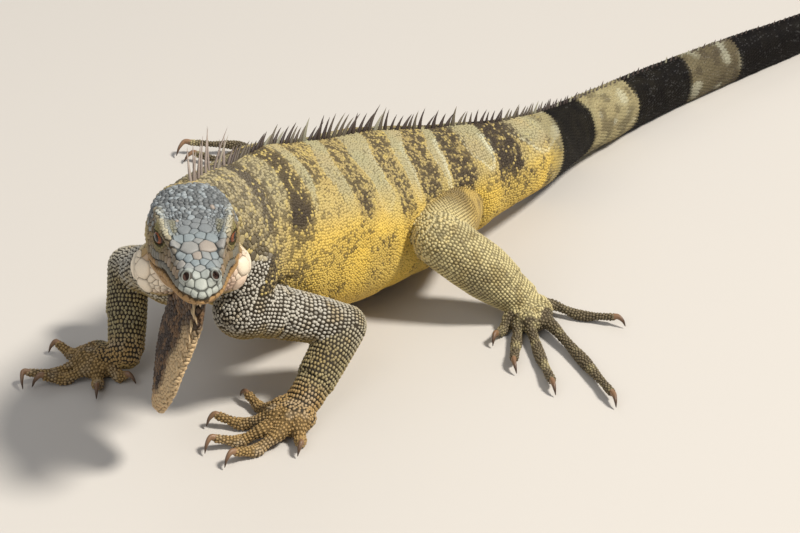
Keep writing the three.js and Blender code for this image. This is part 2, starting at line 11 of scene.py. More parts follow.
import bmesh
import bpy
import numpy as np
from mathutils import Euler, Matrix, Vector
from mathutils.bvhtree import BVHTree
from mathutils.kdtree import KDTree


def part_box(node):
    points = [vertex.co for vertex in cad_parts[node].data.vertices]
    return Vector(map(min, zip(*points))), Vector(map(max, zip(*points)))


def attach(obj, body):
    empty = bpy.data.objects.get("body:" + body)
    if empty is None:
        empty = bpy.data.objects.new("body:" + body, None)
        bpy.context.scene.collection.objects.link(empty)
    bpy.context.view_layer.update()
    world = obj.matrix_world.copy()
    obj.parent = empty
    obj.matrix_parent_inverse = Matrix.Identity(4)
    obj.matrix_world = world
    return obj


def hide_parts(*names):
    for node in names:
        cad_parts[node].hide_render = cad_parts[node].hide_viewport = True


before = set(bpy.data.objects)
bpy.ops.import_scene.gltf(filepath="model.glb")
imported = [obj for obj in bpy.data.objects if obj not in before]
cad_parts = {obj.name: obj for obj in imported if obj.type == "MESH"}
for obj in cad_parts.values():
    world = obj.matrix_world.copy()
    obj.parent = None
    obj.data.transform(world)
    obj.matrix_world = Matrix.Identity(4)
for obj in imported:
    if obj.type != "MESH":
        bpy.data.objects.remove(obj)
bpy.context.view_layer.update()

MM = 0.001
BATCH = 20000                   # places that are measured against other points at one time
draw = random.Random(41)
dice = np.random.default_rng(41)

# ------------------------------------------------------------------ landmarks

# The head: where the back of the skull meets the neck, and how it is turned from facing -Y.
HEAD_BACK = Vector((33.5, -212, 125))
HEAD_YAW = math.radians(47.5)
HEAD_ROLL = math.radians(3)

# Trunk and tail: the middle of the body, then its half width, its rise to the ridge of the back and
# its drop to the belly.
BODY = [
    ("nape", (31.5, -211, 122), (21, 22, 23)),
    ("neck", (23, -192, 114), (26, 27, 29)),
    ("withers", (12.5, -166, 95), (34, 40, 38)),
    ("shoulder", (5, -137, 80), (41, 49.5, 44)),
    ("chest", (-1, -102, 68), (46, 49, 49)),
    ("ribs", (-5, -68, 58), (49, 49, 49)),
    ("flank", (-5, -33, 51), (49, 49, 45)),
    ("loin", (1, 4, 47.5), (44, 43.5, 41)),
    ("hips", (9, 40, 47), (33, 36, 33)),
    ("vent", (14, 76, 44), (25, 30, 26)),
    ("tail root", (10, 122, 36), (20, 26, 24)),
    ("tail 1", (-1, 182, 26.5), (17, 21, 20)),
    ("tail 2", (-4, 279, 18.5), (14.5, 18.5, 17.5)),
    ("tail 3", (9, 396, 15.5), (12, 16.5, 16.1)),
    ("tail 4", (20, 470, 13.9), (10.8, 14.5, 14.5)),
    ("tail 5", (26, 570, 11.3), (9, 11.5, 11.9)),
    ("tail 6", (12, 690, 8.1), (6.5, 8.2, 8.5)),
    ("tail 7", (-22, 806, 6), (4.9, 6.2, 6.4)),
    ("tail 8", (-42, 918, 4.3), (3.5, 4.5, 4.7)),
    ("tail 9", (-34, 1020, 2.8), (2.3, 3, 3.2)),
    ("tail tip", (-6, 1112, 1.5), (1.1, 1.4, 1.8)),
]

# Where the flanks swell over the ribs and draw in between them: from one landmark to another, in
# so many steps.
RIBS = [("withers", "chest", 6), ("chest", "flank", 6), ("flank", "vent", 8)]
RIB_SWELL = 0.6

# Limbs: the joints from the root outwards, and the half thickness at each.
ARMS = {
    "left": {"shoulder": (34, -177, 63), "elbow": (65, -130, 40), "wrist": (69, -168, 14),
             "palm": (69, -181, 9)},
    "right": {"shoulder": (-12, -182, 68), "elbow": (-62, -168, 50), "wrist": (-41, -195, 15),
              "palm": (-54, -203, 8.5)},
}
LEGS = {
    "left": {"hip": (20, 27, 41), "knee": (57, -36, 53), "ankle": (93, -7, 15),
             "palm": (105, -8, 8)},
    "right": {"hip": (-8, 42, 41), "knee": (-70, 15, 46), "ankle": (-124, 44, 15),
              "palm": (-136, 49, 8)},
}
ARM_GIRTH = (16.5, 13.5, 11.5, 11, 10.2)
LEG_GIRTH = (20, 19.5, 16, 16, 12)
PALM_HALF = {"hand": (15, 14), "foot": (17, 12)}

# Digits, numbered from the inner one: the knuckle, sometimes a middle, the end that carries the
# claw, and the claw's tip.
DIGITS = {
    "hand_left": [
        {"knuckle": (55, -181, 8), "end": (34, -176, 6), "tip": (25, -174)},
        {"knuckle": (59, -191, 8), "end": (37, -203, 7), "tip": (33, -210)},
        {"knuckle": (66, -200, 8), "end": (51, -220, 7), "tip": (51, -230)},
        {"knuckle": (75, -198, 8), "end": (68, -223, 7), "tip": (68, -233)},
        {"knuckle": (80, -186, 8), "end": (88, -194, 6), "tip": (91, -201)},
    ],
    "hand_right": [
        {"knuckle": (-43, -205, 8), "end": (-33, -203, 6), "tip": (-26, -201)},
        {"knuckle": (-46, -212, 8), "end": (-37, -221, 6), "tip": (-32, -227)},
        {"knuckle": (-53, -215, 8), "end": (-66, -233, 7), "tip": (-70, -241)},
        {"knuckle": (-61, -212, 8), "end": (-76, -236, 7), "tip": (-71, -246)},
        {"knuckle": (-67, -202, 8), "end": (-86, -204, 7), "tip": (-91, -209)},
    ],
    "foot_left": [
        {"knuckle": (97, -20, 7), "end": (101, -38, 6), "tip": (104, -46)},
        {"knuckle": (103, -19, 7), "end": (125, -54, 5.5), "tip": (133, -62)},
        {"knuckle": (109, -17, 7), "end": (155, -60, 5.5), "tip": (163, -67)},
        {"knuckle": (118, -10, 7), "middle": (154, -28, 3.6), "end": (188, -50, 5.5),
         "tip": (196, -57)},
        {"knuckle": (107, 8, 7), "end": (143, 21, 5.5), "tip": (152, 22)},
    ],
    "foot_right": [
        {"knuckle": (-137, 37, 7), "end": (-150, 22, 6), "tip": (-155, 15)},
        {"knuckle": (-144, 41, 7), "end": (-180, 20, 5.5), "tip": (-187, 12)},
        {"knuckle": (-147, 46, 7), "end": (-203, 32, 6), "tip": (-208, 22)},
        {"knuckle": (-148, 52, 7), "middle": (-188, 58, 7), "end": (-215, 38, 9),
         "tip": (-218, 25)},
        {"knuckle": (-134, 61, 7), "end": (-162, 84, 5.5), "tip": (-170, 88)},
    ],
}
# Half thickness of a digit in the palm, at the knuckle, over its joints and at its end.
DIGIT_GIRTH = {"hand": (4.8, 3.9, 3.2, 2.4), "foot": (4.6, 3.6, 2.9, 2.2)}
SOLE_SINK = 0.6

# The head's own frame: aside of its middle (the animal's left is positive), ahead of HEAD_BACK and
# above the line of the mouth at the snout.  Sections: ahead, half width, rise, drop.
SKULL = [
    (-14, 16, 17, 8), (-8, 17.8, 19, 8), (0, 20.3, 21.5, 9), (12, 21.5, 21.5, 9),
    (24, 21, 20, 8), (36, 18.8, 18, 7), (48, 15.4, 15.8, 5), (58, 13, 13.6, 4.5),
    (67, 11, 10.6, 4), (73.4, 8.3, 7.6, 3), (76.5, 4.6, 4.6, 2),
]
JAW = [
    (-14, 16, 1, 19), (-8, 18.3, 1, 24), (0, 21.3, 1, 28), (12, 22.8, 1, 29), (24, 22, 1, 26),
    (38, 19, 1, 18.6), (50, 15.6, 1, 13.6), (60, 12.8, 1, 10.4), (68, 10.4, 1, 8),
    (73, 7.6, 0.8, 6), (75.3, 4.2, 0.6, 4),
]
# The dewlap from the throat down: ahead, aside, up, half length, half thickness.
DEWLAP = [
    (24, 0, -10, 24, 6), (24, -2.5, -32, 28, 6), (25, -7, -48, 27, 5.6), (27, -11.5, -62, 23, 5),
    (28, -14.5, -76, 17, 4.4), (29, -17.5, -88, 8.5, 3.4),
]
DEWLAP_TURN = 0.12              # how far its front edge swings aside for each step ahead
EYE = {"radius": 6.2, "aside": 13.6, "ahead": 35, "up": 11.5, "look": 0.42}

# The ridge over each eye from its front end backwards: aside, ahead, up and half thickness.
BROW = [(10.6, 57, 12.2, 1.2), (12.4, 50, 14.4, 1.9), (14.8, 41, 16.4, 2.5), (16.6, 30, 17.4, 2.6),
        (17.2, 18, 17, 2.2)]
# Balls that fill out each side of the head: the middle, as aside, ahead and up, and half sizes.
JOWL = ((14, 7, -20.5), (15.2, 14, 14.5))
TEMPLE = ((16.5, 13, 2), (6.5, 14, 13))
NOSE = ((6, 69.5, 7.2), (4.2, 5, 4))
LIDS = 1.1                      # how far the ball of the lids stands out round an eye
JOWL_REACH = 1.12               # how far past its own surface the jowl owns what is round it
EYE_SLIT = (4.5, 2.8)           # half length and half height of the opening between the lids
EYE_HEM = (5.1, 3.4)            # the same for the line that the lids' granules keep outside of
EYE_HEM_PLACES = 26
EAR = {"ahead": 1.5, "up": -1.5, "radius": 5.6}
# A nostril opens where a ray from inside the snout leaves it: from aside, ahead, up, and its way.
NOSTRIL = {"from": (5.6, 68.6, 5.4), "way": (0.26, 0.8, 0.68), "radius": 2.0}
# The line of the mouth runs round the snout, by degrees each way as seen from a pivot ahead of
# HEAD_BACK, and droops towards its corners.
MOUTH = {"pivot": 40, "reach": 128, "droop": 6.5}

# The flesh that carries each shoulder up to the side of the neck: its foot, its top and its half
# thickness at three places, and how far down the upper arm the crease behind it lies.
SHOULDERS = {"left": ((37, -180, 63), (39, -170, 93)), "right": ((-13, -183, 68), (-13, -170, 93))}
SHOULDER_GIRTH = (16.5, 14.5, 11)
CREASE = 0.35

# ------------------------------------------------------------------ frames

HEAD_TURN = Matrix.Rotation(HEAD_YAW, 3, "Z") @ Matrix.Rotation(HEAD_ROLL, 3, "Y")
HEAD_AXES = np.array(HEAD_TURN)


def from_head(places):
    """Points given as aside, ahead, up, carried to the animal's frame."""
    places = np.asarray(places, float)
    local = np.stack([places[..., 0], -places[..., 1], places[..., 2]], -1)
    return local @ HEAD_AXES.T + np.array(HEAD_BACK)


def into_head(places):
    """Points of the animal's frame as aside, ahead and up of the head."""
    local = (np.asarray(places, float) - np.array(HEAD_BACK)) @ HEAD_AXES
    return np.stack([local[..., 0], -local[..., 1], local[..., 2]], -1)


def head_way(aside, ahead, up):
    """A way that is given in the head's own frame, in the animal's."""
    return from_head((aside, ahead, up)) - from_head((0, 0, 0))


def eye_middle(sign):
    """The middle of an eye as aside, ahead and up of the head."""
    return sign * EYE["aside"], EYE["ahead"], EYE["up"]


# The eye's box in the part, set against its place here, says where the part has the animal.
low_corner, high_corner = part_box("eye_left")
EYE_IN_PART = (np.array(low_corner) + np.array(high_corner)) / 2
ORIGIN = EYE_IN_PART / MM - from_head(eye_middle(1))
ORIGIN[2] = 0.0


def to_part(places):
    """Points of the animal's frame, in millimetres, carried to the part's frame, in metres."""
    return (np.asarray(places, float) + ORIGIN) * MM


def unit(vectors):
    """Vectors of the same ways, each of length 1."""
    return vectors / np.maximum(np.linalg.norm(vectors, axis=-1, keepdims=True), 1e-9)


def spline(points, stations):
    """Points of a smooth curve through landmarks, a station being a landmark's number."""
    points = np.asarray(points, float)
    padded = np.vstack([2 * points[0] - points[1], points, 2 * points[-1] - points[-2]])
    low = np.clip(np.floor(stations).astype(int), 0, len(points) - 2)
    share = (stations - low)[:, None]
    before, start, end, after = (padded[low + step] for step in range(4))
    gaps = [np.maximum(np.linalg.norm(far - near, axis=1), 1e-6)[:, None] ** 0.5
            for near, far in ((before, start), (start, end), (end, after))]
    away = ((start - before) / gaps[0] - (end - before) / (gaps[0] + gaps[1])
            + (end - start) / gaps[1]) * gaps[1]
    home = ((end - start) / gaps[1] - (after - start) / (gaps[1] + gaps[2])
            + (after - end) / gaps[2]) * gaps[1]
    return (start + away * share + (3 * (end - start) - 2 * away - home) * share ** 2
            + (2 * (start - end) + away + home) * share ** 3)


def ease(low, high, value):
    """From 0 at low to 1 at high, smoothly, and held at both ends."""
    share = np.clip((value - low) / (high - low), 0, 1)
    return share * share * (3 - 2 * share)


class Route:
    """A curve through landmarks with the half width, rise and drop of the flesh round it."""

    def __init__(self, points, halves, upward=(0, 0, 1), power=(2, 2), swell=None):
        self.points = np.array(points, float)
        self.halves = np.array(halves, float)
        self.upward = np.array(upward, float)
        self.power = power
        self.swell = swell
        self.last = len(points) - 1
        self.stations = np.linspace(0, self.last, self.last * 16 + 1)
        self.centres = spline(self.points, self.stations)
        steps = np.linalg.norm(np.diff(self.centres, axis=0), axis=1)
        self.lengths = np.concatenate([[0], np.cumsum(steps)])
        self.total = self.lengths[-1]

    def at(self, lengths):
        """Centre, along, across, up and halves at lengths along the curve, or past its ends."""
        lengths = np.atleast_1d(np.asarray(lengths, float))
        inside = np.clip(lengths, 0, self.total)
        stations = np.interp(inside, self.lengths, self.stations)
        step = 0.02
        ahead = spline(self.points, np.clip(stations + step, 0, self.last))
        along = unit(ahead - spline(self.points, np.clip(stations - step, 0, self.last)))
        centre = spline(self.points, stations) + along * (lengths - inside)[:, None]
        across = unit(np.cross(along, self.upward))
        halves = spline(self.halves, stations)
        if self.swell:
            halves[:, 0] += self.swell(stations)
        return centre, along, across, np.cross(across, along), halves

    def section(self, turns, halves):
        """How far across and up a section's edge lies at turns from its top."""
        side, high = np.sin(turns), np.cos(turns)
        bend = np.where(high >= 0, 2 / self.power[0], 2 / self.power[1])
        reach = np.where(high >= 0, halves[..., 1], halves[..., 2])
        return (np.sign(side) * np.abs(side) ** bend * halves[..., 0],
                np.sign(high) * np.abs(high) ** bend * reach)

    def depth(self, places):
        """Length along, turn from the top, and 1 on the flesh's own surface, at places near it."""
        centres, along, across, up, halves = self.at(self.lengths)
        nearest = np.empty(len(places), int)
        for start in range(0, len(places), BATCH):
            part = places[start:start + BATCH]
            apart = (part ** 2).sum(1)[:, None] - 2 * part @ centres.T + (centres ** 2).sum(1)
            nearest[start:start + BATCH] = apart.argmin(1)
        arm = places - centres[nearest]
        past = (arm * along[nearest]).sum(1)
        aside = (arm * across[nearest]).sum(1)
        high = (arm * up[nearest]).sum(1)
        half = halves[nearest]
        reach = np.where(high >= 0, half[:, 1], half[:, 2])
        level = np.sqrt((aside / half[:, 0]) ** 2 + (high / reach) ** 2 + (past / half[:, 0]) ** 2)
        return self.lengths[nearest] + past, np.arctan2(aside, high), level


def limb_route(start, end, girths):
    """A straight limb with a round girth at its start, middle and end."""
    bone = np.subtract(end, start)
    steep = abs(bone[2]) > 0.75 * np.linalg.norm(bone)
    middle = np.add(start, end) / 2
    return Route([start, middle, end], [(girth,) * 3 for girth in girths],
                 (0, 1, 0) if steep else (0, 0, 1))


def digit_route(palm, digit, girth):
    """A digit from the palm past its knuckle to its end, a little swollen at its joints."""
    knuckle, end = np.array(digit["knuckle"], float), np.array(digit["end"], float)
    rest = girth[2] - SOLE_SINK
    middle = np.array(digit.get("middle", (*((knuckle + end) / 2)[:2], rest + 0.5)))
    swell = 0.4
    points = [palm, knuckle, (knuckle + middle) / 2, middle, middle * 0.45 + end * 0.55, end]
    girths = [girth[0], girth[1], girth[2] - swell, girth[2] + swell,
              (girth[2] + girth[3]) / 2 - swell, girth[3]]
    return Route(points, [(half,) * 3 for half in girths])


BODY_NAMES = [name for name, _, _ in BODY]


def rib_swell(stations):
    """How far the flanks stand out, or draw in, over the ribs at stations of the body."""
    swell = np.zeros(len(stations))
    for start, end, steps in RIBS:
        first, last = BODY_NAMES.index(start), BODY_NAMES.index(end)
        inside = (stations >= first) & (stations <= last)
        share = (stations - first) / (last - first)
        swell += inside * RIB_SWELL * np.cos(math.pi * steps * share)
    return swell


ROUTES = {"body": Route([place for _, place, _ in BODY], [half for _, _, half in BODY],
                        power=(1.85, 2.4), swell=rib_swell)}
for side in ("left", "right"):
    arm, leg = ARMS[side], LEGS[side]
    ROUTES[f"upper_arm_{side}"] = limb_route(arm["shoulder"], arm["elbow"], ARM_GIRTH[:3])
    ROUTES[f"forearm_{side}"] = limb_route(arm["elbow"], arm["wrist"], ARM_GIRTH[2:])
    ROUTES[f"thigh_{side}"] = limb_route(leg["hip"], leg["knee"], LEG_GIRTH[:3])
    ROUTES[f"shank_{side}"] = limb_route(leg["knee"], leg["ankle"], LEG_GIRTH[2:])
ROOTED = [name for name in ROUTES if name.startswith(("upper", "thigh"))]
for name, digits in DIGITS.items():
    kind, side = name.split("_")
    joints = (ARMS if kind == "hand" else LEGS)[side]
    wrist, palm = joints["wrist" if kind == "hand" else "ankle"], joints["palm"]
    toward = unit(np.subtract(digits[2]["knuckle"], palm) * (1, 1, 0))
    half = PALM_HALF[kind]
    ROUTES[f"palm_{name}"] = Route(
        [np.subtract(palm, toward * half[0] * 0.6), palm, np.add(palm, toward * half[0] * 0.6)],
        [(half[1] * 0.8, 7, 7), (half[1], palm[2], palm[2]), (half[1] * 0.8, 7, 7)])
    for number, digit in enumerate(digits, 1):
        ROUTES[f"digit_{name}_{number}"] = digit_route(palm, digit, DIGIT_GIRTH[kind])


def head_route(sections, power):
    """The skull's or the jaw's form along the head's middle line."""
    centres = [from_head((0, ahead, 0)) for ahead, *_ in sections]
    return Route(centres, [half for _, *half in sections], power=power)


HEAD_UP = HEAD_AXES[:, 2]
skull = head_route(SKULL, (2.7, 2.4))
jaw = head_route(JAW, (2.2, 2.3))
ROUTES["head"] = Route(
    [from_head((0, ahead, -4)) for ahead, *_ in SKULL],
    [(wide, rise + 4, max(drop, lower[3]) - 4)
     for (_, wide, rise, drop), lower in zip(SKULL, JAW)])
ROUTES["dewlap"] = Route(
    [from_head((aside, ahead, up)) for ahead, aside, up, _, _ in DEWLAP],
    [(thick, long, long) for _, _, _, long, thick in DEWLAP],
    upward=head_way(DEWLAP_TURN, 1, 0), power=(1.5, 2))
OWNERS = [name for name in ROUTES if not name.startswith("palm")]
ON_BODY, ON_HEAD, ON_DEWLAP = (OWNERS.index(name) for name in ("body", "head", "dewlap"))


def owners_of(places):
    """The number in OWNERS of the form whose flesh each place belongs to."""
    levels = np.stack([ROUTES[name].depth(places)[2] for name in OWNERS])
    owner = levels.argmin(0)
    local = np.abs(into_head(places) * (1, 0, 0)) + into_head(places) * (0, 1, 1)
    jowl = (local - JOWL[0]) / JOWL[1]
    in_jowl = (np.linalg.norm(jowl, axis=1) < JOWL_REACH) & (owner == ON_BODY)
    return np.where(in_jowl, ON_HEAD, owner)


def shoulder_share(places):
    """How far each place belongs to a shoulder, whose beads run on up the side of the neck."""
    nearest = np.full(len(places), np.inf)
    for foot, top in SHOULDERS.values():
        for share in (0, 0.2, 0.4):
            middle = np.add(foot, np.subtract(top, foot) * share)
            nearest = np.minimum(nearest, np.linalg.norm(places - middle, axis=1))
    return 1 - ease(20, 25, nearest)


# ------------------------------------------------------------------ making meshes


def add_tube(flesh, route, sides=24, pitch=2.0, round_ends=(1, 1)):
    """A closed tube round a route, from a grid rolled up and gathered at both ends."""
    caps = [max(half[0] * turned, 0.01)
            for half, turned in zip((route.halves[0], route.halves[-1]), round_ends)]
    span = route.total + sum(caps)
    rows = max(10, round(span / pitch))
    grid = bmesh.ops.create_grid(flesh, x_segments=sides, y_segments=rows, size=1)["verts"]
    flat = np.array([vert.co[:2] for vert in grid])
    share = (flat - flat.min(0)) / (flat.max(0) - flat.min(0))
    lengths = share[:, 1] * span - caps[0]
    past = lengths - np.clip(lengths, 0, route.total)
    cap = np.where(past < 0, caps[0], caps[1])
    girth = np.sqrt(np.clip(1 - (past / cap) ** 2, 0, 1))[:, None]
    centre, _, across, up, halves = route.at(lengths)
    aside, high = route.section(2 * math.pi * share[:, 0], halves)
    places = centre + (across * aside[:, None] + up * high[:, None]) * girth
    for vert, place in zip(grid, places):
        vert.co = place
    bmesh.ops.remove_doubles(flesh, verts=grid, dist=1e-3)


def head_matrix(place, turn=(0, 0, 0)):
    """Carries a form made round the origin to a place of the head; +Y is backwards there."""
    aside, ahead, up = place
    local = Matrix.Translation((aside, -ahead, up)) @ Euler(turn).to_matrix().to_4x4()
    return Matrix.Translation(HEAD_BACK) @ HEAD_TURN.to_4x4() @ local


def add_ball(flesh, matrix, half):
    """A stretched ball of some half sizes, where a matrix carries it."""
    stretch = matrix @ Matrix.Diagonal((*half, 1))
    bmesh.ops.create_uvsphere(flesh, u_segments=24, v_segments=16, radius=1, matrix=stretch)


def link(name, data):
    """A named object of the scene that holds a mesh, a camera or a light."""
    piece = bpy.data.objects.new(name, data)
    bpy.context.scene.collection.objects.link(piece)
    return piece


def with_modifiers_applied(holder):
    """The mesh that an object's modifiers make of its own, after which the object goes."""
    graph = bpy.context.evaluated_depsgraph_get()
    result = bpy.data.meshes.new_from_object(holder.evaluated_get(graph))
    bpy.data.objects.remove(holder)
    return result


def with_modifiers(name, mesh, *settings):
    """The mesh that a stack of modifiers, each given as its type and values, makes of a mesh."""
    holder = link(name, mesh)
    for kind, values in settings:
        modifier = holder.modifiers.new(kind.title(), kind)
        for key, value in values.items():
            setattr(modifier, key, value)
    return with_modifiers_applied(holder)


def corners_of(mesh):
    """The places of a mesh's corners."""
    places = np.empty(len(mesh.vertices) * 3)
    mesh.vertices.foreach_get("co", places)
    return places.reshape(-1, 3)


def normals_of(mesh):
    """The ways outwards at a mesh's corners."""
    normals = np.empty(len(mesh.vertices) * 3)
    mesh.vertex_normals.foreach_get("vector", normals)
    return normals.reshape(-1, 3)


def taken_out(form):
    """A bmesh's corners and triangles, after which the bmesh is freed."""
    bmesh.ops.triangulate(form, faces=form.faces)
    form.verts.index_update()
    corners = np.array([vert.co for vert in form.verts])
    faces = np.array([[vert.index for vert in face.verts] for face in form.faces])
    form.free()
    return corners, faces


def template(make):
    """Corners and triangles of a small form that make() builds in an empty bmesh."""
    form = bmesh.new()
    make(form)
    return taken_out(form)


def settle(name, places, faces, tints, charts=None, rise=None):
    """A named piece from corners in the animal's frame, its tints, and its place on the chart."""
    mesh = bpy.data.meshes.new(name)
    places = np.maximum(places, (-np.inf, -np.inf, 0.05))
    mesh.from_pydata(to_part(places).tolist(), [], faces)
    mesh.polygons.foreach_set("use_smooth", [True] * len(mesh.polygons))
    colours = np.ones((len(places), 4))
    colours[:, :3] = tints
    mesh.color_attributes.new("tint", "FLOAT_COLOR", "POINT").data.foreach_set(
        "color", colours.ravel())
    if rise is not None:
        mesh.attributes.new("rise", "FLOAT", "POINT").data.foreach_set("value", rise)
    if charts is not None:
        loops = np.empty(len(mesh.loops), int)
        mesh.loops.foreach_get("vertex_index", loops)
        mesh.uv_layers.new(name="OFBake").data.foreach_set("uv", charts[loops].ravel())
    return link(name, mesh)


PATCH = 0.003                   # width of one scale's patch on the chart
MOST_TRIANGLES = 190000


def strew(name, form, roots, sizes, tints, charts, shape=None):
    """Pieces that hold one copy of a form on every root, sized and tinted each in its own way.

    Roots are place, along and outward arrays; sizes are width, length and height.  The form fills
    -0.5 to 0.5 across and along, and rises from 0 to 1.  shape may bend its stretched corners.
    """
    places, along, outward = roots
    across = unit(np.cross(along, outward))
    along = unit(np.cross(outward, across))
    corners, faces = form
    spread = corners[None] * sizes[:, None, :]
    if shape:
        spread = shape(spread)
    mesh_places = (places[:, None] + across[:, None] * spread[..., :1]
                   + along[:, None] * spread[..., 1:2] + outward[:, None] * spread[..., 2:])
    uvs = charts[:, None] + PATCH * corners[None, :, :2]
    parts = math.ceil(len(places) * len(faces) / MOST_TRIANGLES)
    pieces = []
    for number, chosen in enumerate(np.array_split(np.arange(len(places)), parts), 1):
        count = len(chosen)
        shifted = faces[None] + len(corners) * np.arange(count)[:, None, None]
        shown = name if parts == 1 else f"{name}_{number}"
        pieces.append(settle(
            shown, mesh_places[chosen].reshape(-1, 3), shifted.reshape(-1, 3).tolist(),
            np.repeat(tints[chosen], len(corners), 0), uvs[chosen].reshape(-1, 2),
            np.tile(np.clip(corners[:, 2], 0, 1), count)))
    return pieces


# ------------------------------------------------------------------ patterns worked out on places


def drift(places, size, seed):
    """Smooth seeded noise from 0 to 1, with features of a size."""
    spot = np.asarray(places) / size + seed * 7.31
    cell = np.floor(spot).astype(np.int64)
    part = spot - cell
    part = part * part * (3 - 2 * part)
    total = np.zeros(len(spot))
    for corner in itertools.product((0, 1), repeat=3):
        key = (cell + corner) @ np.array([73856093, 19349663, 83492791]) + seed * 977
        key = (key ^ (key >> 13)) * 1274126177 & 0xFFFFFFFF
        key = (key ^ (key >> 16)) * 2246822519 & 0xFFFFFFFF
        total += key / 0xFFFFFFFF * np.prod(np.where(corner, part, 1 - part), 1)
    return total


def tone(code):
    """A colour in linear light from its hexadecimal code."""
    parts = np.array([int(code[start:start + 2], 16) for start in (1, 3, 5)]) / 255
    return np.where(parts <= 0.04045, parts / 12.92, ((parts + 0.055) / 1.055) ** 2.4)


def mix(low, high, share):
    """Colours between two, a share from the first to the second at every place."""
    share = np.asarray(share)[..., None]
    return low * (1 - share) + high * share


PALE = tone("#ab9d76")
GREENISH = tone("#a29d7b")
DARK = tone("#3d342c")
UMBER = tone("#7a6b4f")
YELLOW = tone("#e0be55")
BELLY = tone("#d0ad5b")
FLECK = tone("#e2ca6c")
RIM = tone("#dcdcc4")
NECK = tone("#a99e7c")
TAIL_DARK = tone("#0d0a0a")
TAIL_PALE = tone("#a3966f")
# Painted shade: the darker tint that the tail's pale zones take towards its tip.
TAIL_FAR_SHADE = tone("#635a45")
ARM_DARK = tone("#3d3529")
BEAD = tone("#b8b3a6")
# The forearm's olive beads: partly their own colour, partly painted shade.
FORE_BEAD_AND_SHADE = tone("#9a8e69")
OLIVE = tone("#8a7440")
HAND = tone("#a18351")
THIGH = tone("#bb9f57")
SHANK = tone("#c9bb89")
FOOT = tone("#6f6248")
SPINE_DARK = tone("#3a2d29")
SPINE_LIGHT = tone("#665d4d")
SPINE_WARM = tone("#463a33")
SPINE_PALE = tone("#9d9a83")
SPINE_NAPE = tone("#a39388")
CLAW_ROOT = tone("#8a6a4e")
CLAW_TIP = tone("#3a2a20")
EYE_RED = tone("#7a2c14")

# Dark bands across the back and round the tail: where each starts and ends, by how far behind the
# nape, and, on the trunk, how dark it is and the turn from the ridge at which it dies away.
TRUNK_BANDS = [(33, 49, 0.36, 2), (68, 87, 0.54, 2), (98, 118, 0.5, 0.55), (131, 155, 0.56, 1.1),
               (176, 200, 0.6, 2), (212, 236, 0.7, 2), (246, 269, 0.85, 2), (287, 314, 1.0, 2)]
BAND_SLANT = 14                 # how much further back the middle bands cross the ridge
TAIL_BANDS = [(369, 426), (489, 561), (620, 742), (805, 880), (925, 1010), (1050, 1130),
              (1170, 1400)]
TRUNK_END = 338


